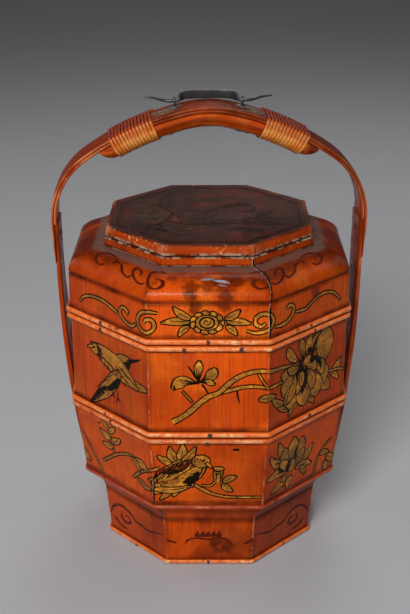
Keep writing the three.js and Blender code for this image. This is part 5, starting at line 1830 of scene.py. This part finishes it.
class BASKET_OT_middle_tier(Operator):
    """Build the middle tier's upright walls and their two beads"""

    bl_idname = "basket.middle_tier"
    bl_label = "Middle tier"

    def execute(self, context):
        lacquer = shared(lacquer_finish, "Middle tier lacquer", deep=0.42, slanted=0.6,
            grime_at=((MIDDLE[0] + 8, 6), (MIDDLE[1] - 7.4, 3.2)))
        walls("middle_tier_walls", "middle_tier", eight("middle_wall"), (MIDDLE_FLAT, MIDDLE_FLAT), MIDDLE,
            lacquer)
        bead("middle_bottom_hoop", "middle_tier", "middle_bottom_bead", middle_wall,
            MIDDLE[0] + LOW_BEAD_RISE)
        bead("middle_rim_hoop", "middle_tier", "middle_rim_bead", middle_wall, MIDDLE[1] - RIM_BEAD_DROP)
        dress(bare(), "middle_floor", "middle_nesting_ring")
        return {"FINISHED"}


class BASKET_OT_lid(Operator):
    """Build the lid: its band and bead, the domed shoulder and the collar"""

    bl_idname = "basket.lid"
    bl_label = "Lid"

    def execute(self, context):
        sizes = context.scene.basket_sizes
        lacquer = shared(lacquer_finish, "Lid band lacquer", deep=0.36,
            grime_at=((BAND[0] + 8, 5), (BAND[1], 4)),
            stains=((-13, 148, 325, 8), (15, 148, 324, 9), (110, 99, 320, 10)))
        walls("lid_band_walls", "lid", eight("lid_band"), BAND_FLATS, BAND, lacquer)
        bead("lid_hoop", "lid", "lid_bead", band_wall, BAND[0] + LOW_BEAD_RISE, proud=3.4)
        keep(self.dome(sizes), "lid", "lacquer", "lid_shoulder")
        out, back = COLLAR_FLATS[0], COLLAR_FLATS[0] - COLLAR_WIDTH
        outline = [(out, COLLAR[0]), (COLLAR_FLATS[1], COLLAR[1]), (back, COLLAR[1]), (back, COLLAR[0])]
        edged = shared(lacquer_finish, "Collar lacquer", deep=0.7, tone=0.84, glow=0.2, worn=1.2,
            grime_at=((COLLAR[0] + 1.4, 1.4), (COLLAR[1] + 1, 2.2)),
            bare_at=((COLLAR[0] + 0.3, 0.9), (COLLAR[1] - 0.4, 0.9)))
        keep(shell("collar_frame", divided(softened(outline, 0.7), 12), edged, 0.0012), "lid", "lacquer",
            "lid_collar")
        dress(bare(), "lid_tray_board")
        return {"FINISHED"}

    def dome(self, sizes):
        (low, high), (base, top) = DOME_FLATS, DOME
        inset, drop, thick, shelf = 1.6, 3, 7.5, 16
        outline, roundings = [(low - inset, base - drop), (low - inset, base)], [sizes.corner] * 2
        for turn in spaced(0, pi / 2, count=16):
            outline.append((high + (low - high) * cos(turn), base + (top - base) * sin(turn)))
            roundings.append(between(sizes.corner, sizes.dome_corner, sin(turn * 2)))
        outline.append((high - shelf, top))
        outline += [(high - shelf + (low - high + shelf - thick) * cos(turn),
            base + (top - base - thick) * sin(turn)) for turn in spaced(pi / 2, 0, count=9)]
        outline.append((low - inset - thick, base - drop))
        roundings += [sizes.corner] * (len(outline) - len(roundings))
        dusty = shared(lacquer_finish, "Dome lacquer", deep=0.5, tone=0.95, grime_from=352.3, slanted=0.45,
            grime_at=((base - 2, 5),), worn=0,
            # the last four patches darken the dome's left and right sides near the collar
            stains=((-16, 142, 343, 12), (0, 140, 345, 12), (16, 140, 344, 13), (27, 134, 348, 9),
            (-17, 146, 336, 8), (17, 146, 335, 9), (-138, 44, 352, 24), (134, 52, 350, 34),
            (-140, 0, 350, 36), (140, 0, 348, 44)))
        return shell("domed_shoulder", outline, dusty, roundings, side_steps=13)


class BASKET_OT_cap(Operator):
    """Build the cap's frame and finish its board"""

    bl_idname = "basket.cap"
    bl_label = "Cap"

    def execute(self, context):
        low, high = CAP_FLATS
        opening, ledge = high - CAP_FRAME_WIDTH, CAP[1] - CAP_LEDGE_DROP - SEAT
        inner = opening - CAP_LEDGE_WIDTH
        outline = [(low, CAP[0]), (high, CAP[1]), (opening, CAP[1]), (opening, ledge), (inner, ledge),
            (inner, CAP[0])]
        dark = shared(cap_finish, "Dark cap lacquer")
        keep(shell("cap_rim", divided(softened(outline, 0.55), 10), dark, 0.0012), "cap", "dark_top",
            "cap_frame")
        dress(dark, "cap_board")
        dress(bare(), "cap_lip")
        return {"FINISHED"}


class BASKET_OT_ornament(Operator):
    """Paint the scrolls, birds and blossoms on the walls, and open the old joints"""

    bl_idname = "basket.ornament"
    bl_label = "Painted ornament"

    def execute(self, context):
        def walled(flat_at):
            return Paint(lambda side, along, level: on_wall(side, along, level, flat_at(level)))

        band, middle, lower, foot = (walled(wall) for wall in (band_wall, middle_wall, lower_wall, foot_wall))
        dome, collar, cap = Paint(on_dome), walled(lambda level: COLLAR_FLATS[0]), Paint(on_cap)
        cove = walled(lambda level: between(FOOT_FLATS[1], COVE_TOP_FLAT,
            (level - FOOT_TOP) / (LOWER[0] - FOOT_TOP)))
        for front, left, right, flip in ((6, 5, 7, 1), (2, 3, 1, -1)):
            for drawing, paint, side in ((band_scrolls, band, front), (flying_bird, middle, left),
                    (blossom_branch, middle, front), (peony, middle, right), (sprig, lower, left),
                    (perched_bird, lower, front), (small_bloom, lower, right), (foot_lotus, foot, front),
                    (foot_waves, foot, left), (dome_scrolls, dome, front)):
                drawing(paint.on(side, flip))
            foot_waves(foot.on(right, -flip))
        for side in (0, 4):
            end_roundel(lower.on(side))
        lower.on(6).blob("crack", (28.5, 163.5), (3.6, 1.5))
        lower.on(5).blob("crack", (-24, 163), (2.2, 1.2))
        cap_picture(cap)
        # the open joint down the lid's right front corner, and the split at the lower tier's left one
        for paint, points in (
                (dome, [(46.4, 88), (51.5, 76), (57, 60), (61.5, 42), (63.2, 24), (62.6, 8), (61.6, 0.5)]),
                (collar, [(45.9, 362), (45.3, 358), (46, 354)]),
                (band, [(61.6, 327.4), (61.1, 316), (61.8, 303), (61.3, 292)]),
                (lower, [(-58.4, 128), (-57.6, 118), (-58.6, 106), (-57.8, 94)]),
                (cove, [(-56.2, 85), (-53.6, 78), (-51, 70), (-49.4, 62)])):
            paint.on(6).coat = 28
            paint.line("crack", points, 1.5, (0.5, 0.7))
            paint.line("chip", [(along - 1.3, level) for along, level in points], 0.7)
        for paint, name, piece, body in ((band, "band", "lid_band_walls", "lid"),
                (middle, "middle", "middle_tier_walls", "middle_tier"),
                (lower, "lower", "lower_tier_walls", "base"), (foot, "foot", "foot_boards", "base"),
                (cove, "cove", "cove_moulding", "base"), (dome, "dome", "domed_shoulder", "lid"),
                (collar, "collar", "collar_frame", "lid")):
            paint.lay(f"{name}_ornament", bpy.data.objects[piece], body)
        cap.lay("cap_ornament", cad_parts["cap_board"], "cap", "dark_top")
        return {"FINISHED"}


class BASKET_OT_handle(Operator):
    """Build the bent strips, the uprights and the grip"""

    bl_idname = "basket.handle"
    bl_label = "Handle"

    def execute(self, context):
        keep(outer_strip(), "base", "bamboo", "arch_outer_strip")
        keep(inner_strip(), "base", "bamboo", "arch_inner_strip")
        keep(grip(), "base", "bamboo", "grip")
        for side, hand in HANDS:
            keep(upright(side, hand), "base", "bamboo", f"upright_{side}")
        return {"FINISHED"}


class BASKET_OT_windings(Operator):
    """Wind rattan round the strips and the grip"""

    bl_idname = "basket.windings"
    bl_label = "Rattan windings"

    def execute(self, context):
        for side, hand in HANDS:
            keep(winding(side, hand), "base", "rattan", f"rattan_winding_{side}")
        return {"FINISHED"}


class BASKET_OT_bail(Operator):
    """Forge the bail, the split pins it turns in and their plates"""

    bl_idname = "basket.bail"
    bl_label = "Bail and pins"

    def execute(self, context):
        keep(bail(), "bail", "iron", "bail")
        for side, hand in HANDS:
            keep(split_pin(side, hand), "base", "iron", f"split_pin_{side}")
            keep(pin_plate(side, hand), "base", "iron", f"pin_plate_{side}")
        return {"FINISHED"}


# Nails in the beads: the wall, how far out from it they sit, their share of the size and their body, then
# the side, the place along it and the level of each, in millimetres
NAILS = {
    "foot_nails": (foot_wall, 2.3, 0.9, "base",
    ((6, -1.3, 3.5), (5, -1.6, 3.3), (7, 3.6, 3.5), (4, 2, 3.4), (3, -3, 3.4), (2, 1, 3.4), (1, 4, 3.4),
    (0, -2, 3.4))),
    "lower_nails": (lower_wall, 3.5, 1, "base",
    ((6, -1.6, 173.2), (5, 2, 175), (7, -3, 174.6), (4, 4, 174.8), (0, 1, 174.8), (3, -2, 174.8),
    (2, 3, 174.9), (1, -5, 174.8))),
    "middle_nails": (middle_wall, 3.5, 1, "middle_tier",
    ((6, -24.2, 279.6), (6, 33.6, 280.2), (7, 5.3, 280.2), (5, -8, 280.2), (4, 3, 280.2), (3, 6, 280.2),
    (2, -4, 280.2), (1, 2, 280.2), (0, -6, 280.2), (6, 1.5, 182.6), (5, -5.5, 182.8), (7, 1.1, 182.8),
    (4, -3, 182.8), (3, 2, 182.8), (2, 0, 182.8), (1, 5, 182.8), (0, 3, 182.8))),
    "lid_nails": (band_wall, 2.9, 1, "lid",
    ((6, -0.2, 288.2), (5, -5.9, 288.2), (7, -2, 288.2), (4, 1, 288.2), (3, -1, 288.2), (2, 4, 288.2),
    (1, -3, 288.2), (0, 2, 288.2)))}


class BASKET_OT_nails(Operator):
    """Drive the nails into the beads and rivet the uprights"""

    bl_idname = "basket.nails"
    bl_label = "Nails and rivets"

    def execute(self, context):
        radius = context.scene.basket_sizes.nail
        for name, (wall_at, out, share, body, nails) in NAILS.items():
            heads(name, body, (), [
                (*on_wall(side, along, level, wall_at(level) + out), share * (1 + 0.16 * sin(place * 2.3)))
                for place, (side, along, level) in enumerate(nails)], rusty(), radius)
        # the pair of nails in the outer strip beside each winding
        heads("strip_nails", "base", (),
            [(twisted(under_arch(distance, 0.15, y)), twisted(arch_out(distance)), 0.9)
            for distance, y in ((-55.5, -17), (-56.5, 15), (55, -16), (56, 16.5))], rusty(), radius * 0.68,
            length=0.003)
        for side, hand in HANDS:
            for number, level in enumerate(WALL_RIVET_LEVELS, 1):
                self.rivet(f"tier_rivet_{side}_{number}", f"wall_rivet_{side}_{number}", hand, level,
                    upright_outer(level), lower_wall(level) - WALL, 0, WALL_RIVET)
            x, level = arch_line(distance_at_level(LAP_RIVET_LEVEL))[0], LAP_RIVET_LEVEL
            self.rivet(f"lap_rivet_head_{side}", f"lap_rivet_{side}", hand, level, x, upright_inner(level),
                HANDLE_TWIST, LAP_RIVET)
        return {"FINISHED"}

    def rivet(self, name, node, hand, level, outer, inner, turn, measures):
        """Both heads of a rivet, with their halves of the shank."""
        way = twisted((hand, 0, 0), turn)
        heads(name, "base", (node,),
            [(twisted((hand * (outer + 0.1), 0, level), turn), way, 1),
            (twisted((hand * (inner - 0.1), 0, level), turn), -way, 0.8)], iron(), *measures)


class BASKET_OT_stage(Operator):
    """Set the pale floor, the soft lights and the camera"""

    bl_idname = "basket.stage"
    bl_label = "Floor, lights and camera"

    def execute(self, context):
        stage = context.scene.basket_stage
        self.floor(stage)
        # the place, the height and the depth of the point that each light faces, its size and its power
        for name, place, height, depth, wide, power in (
                ("main_light", (-0.5, -1.95, 1.6), 0.22, 0, 1, stage.key_power),
                ("left_light", (-1.7, 0.8, 1), 0.25, 0, 1, stage.fill_power),
                ("right_light", (1.7, 0.9, 1.2), 0.2, 0, 1.2, stage.fill_power),
                ("back_light", (0.3, 1.5, 2.2), 0.15, 0, 1.2, stage.fill_power * 2.6),
                ("far_light", (0, 4.6, 3.6), 0, 4.6, 2.4, stage.fill_power * 1.6)):
            lamp = bpy.data.lights.new(name, "AREA")
            lamp.shape, lamp.size, lamp.energy = "DISK", wide, power
            made = linked(name, lamp)
            made.location = place
            facing = Vector((0, depth, height)) - Vector(place)
            made.rotation_euler = facing.to_track_quat("-Z", "Y").to_euler()
        world = context.scene.world or bpy.data.worlds.new("Studio")
        context.scene.world = world
        world.use_nodes = True
        backdrop = world.node_tree.nodes["Background"]
        backdrop.inputs["Color"].default_value = (*stage.floor, 1)
        backdrop.inputs["Strength"].default_value = 0.14
        context.scene.view_settings.view_transform = "Standard"
        self.camera(context, stage)
        return {"FINISHED"}

    def floor(self, stage):
        corners = [(x * 7000, y * 7000, 0) for x, y in ((-1, -1), (1, -1), (1, 1), (-1, 1))]
        mesh = source_mesh("studio_floor", corners, [], [(0, 1, 2, 3)])
        finish = Finish("Pale floor", 0.7, tint=(1, 1, 1))
        finish.layer((stage.floor,), (finish.spots(0.3, 0.7, 3, 4, 0.55) * 0.12, stage.floor, 0.85))
        mesh.materials.append(finish.material)
        linked("studio_floor", mesh)

    def camera(self, context, stage):
        lens = bpy.data.cameras.new("photo_camera")
        lens.sensor_fit, lens.sensor_height, lens.lens, lens.clip_start = "VERTICAL", 36, stage.lens, 0.05
        made = linked("photo_camera", lens)
        pitch, heading, roll = (radians(value) for value in (22.52, 0.62, -0.246))
        made.matrix_world = (Matrix.Translation((0.008, -1.170, 0.749)) @ Matrix.Rotation(heading, 4, "Z")
            @ Matrix.Rotation(pi / 2 - pitch, 4, "X") @ Matrix.Rotation(roll, 4, "Z"))
        context.scene.camera = made


STEPS = (BASKET_OT_foot, BASKET_OT_lower_tier, BASKET_OT_middle_tier, BASKET_OT_lid, BASKET_OT_cap,
    BASKET_OT_ornament, BASKET_OT_handle, BASKET_OT_windings, BASKET_OT_bail, BASKET_OT_nails,
    BASKET_OT_stage)


class VIEW3D_PT_basket(Panel):
    """Lists the basket's pieces, sizes and colours"""

    bl_idname = "VIEW3D_PT_basket"
    bl_label = "Tiered food basket"
    bl_space_type = "VIEW_3D"
    bl_region_type = "UI"
    bl_category = "Basket"

    def draw(self, context):
        layout = self.layout
        for step in STEPS:
            layout.operator(step.bl_idname)
        for settings in (context.scene.basket_sizes, context.scene.basket_colours,
                context.scene.basket_stage):
            box = layout.box()
            for name in settings.__annotations__:
                box.prop(settings, name)


CLASSES = (BasketSizes, BasketColours, BasketStage, *STEPS, VIEW3D_PT_basket)


def register():
    for made in CLASSES:
        bpy.utils.register_class(made)
    Scene.basket_sizes = PointerProperty(type=BasketSizes)
    Scene.basket_colours = PointerProperty(type=BasketColours)
    Scene.basket_stage = PointerProperty(type=BasketStage)


def unregister():
    del Scene.basket_sizes, Scene.basket_colours, Scene.basket_stage
    for made in reversed(CLASSES):
        bpy.utils.unregister_class(made)


def main():
    register()
    for step in STEPS:
        group, name = step.bl_idname.split(".")
        getattr(getattr(bpy.ops, group), name)()


if __name__ == "__main__":
    main()
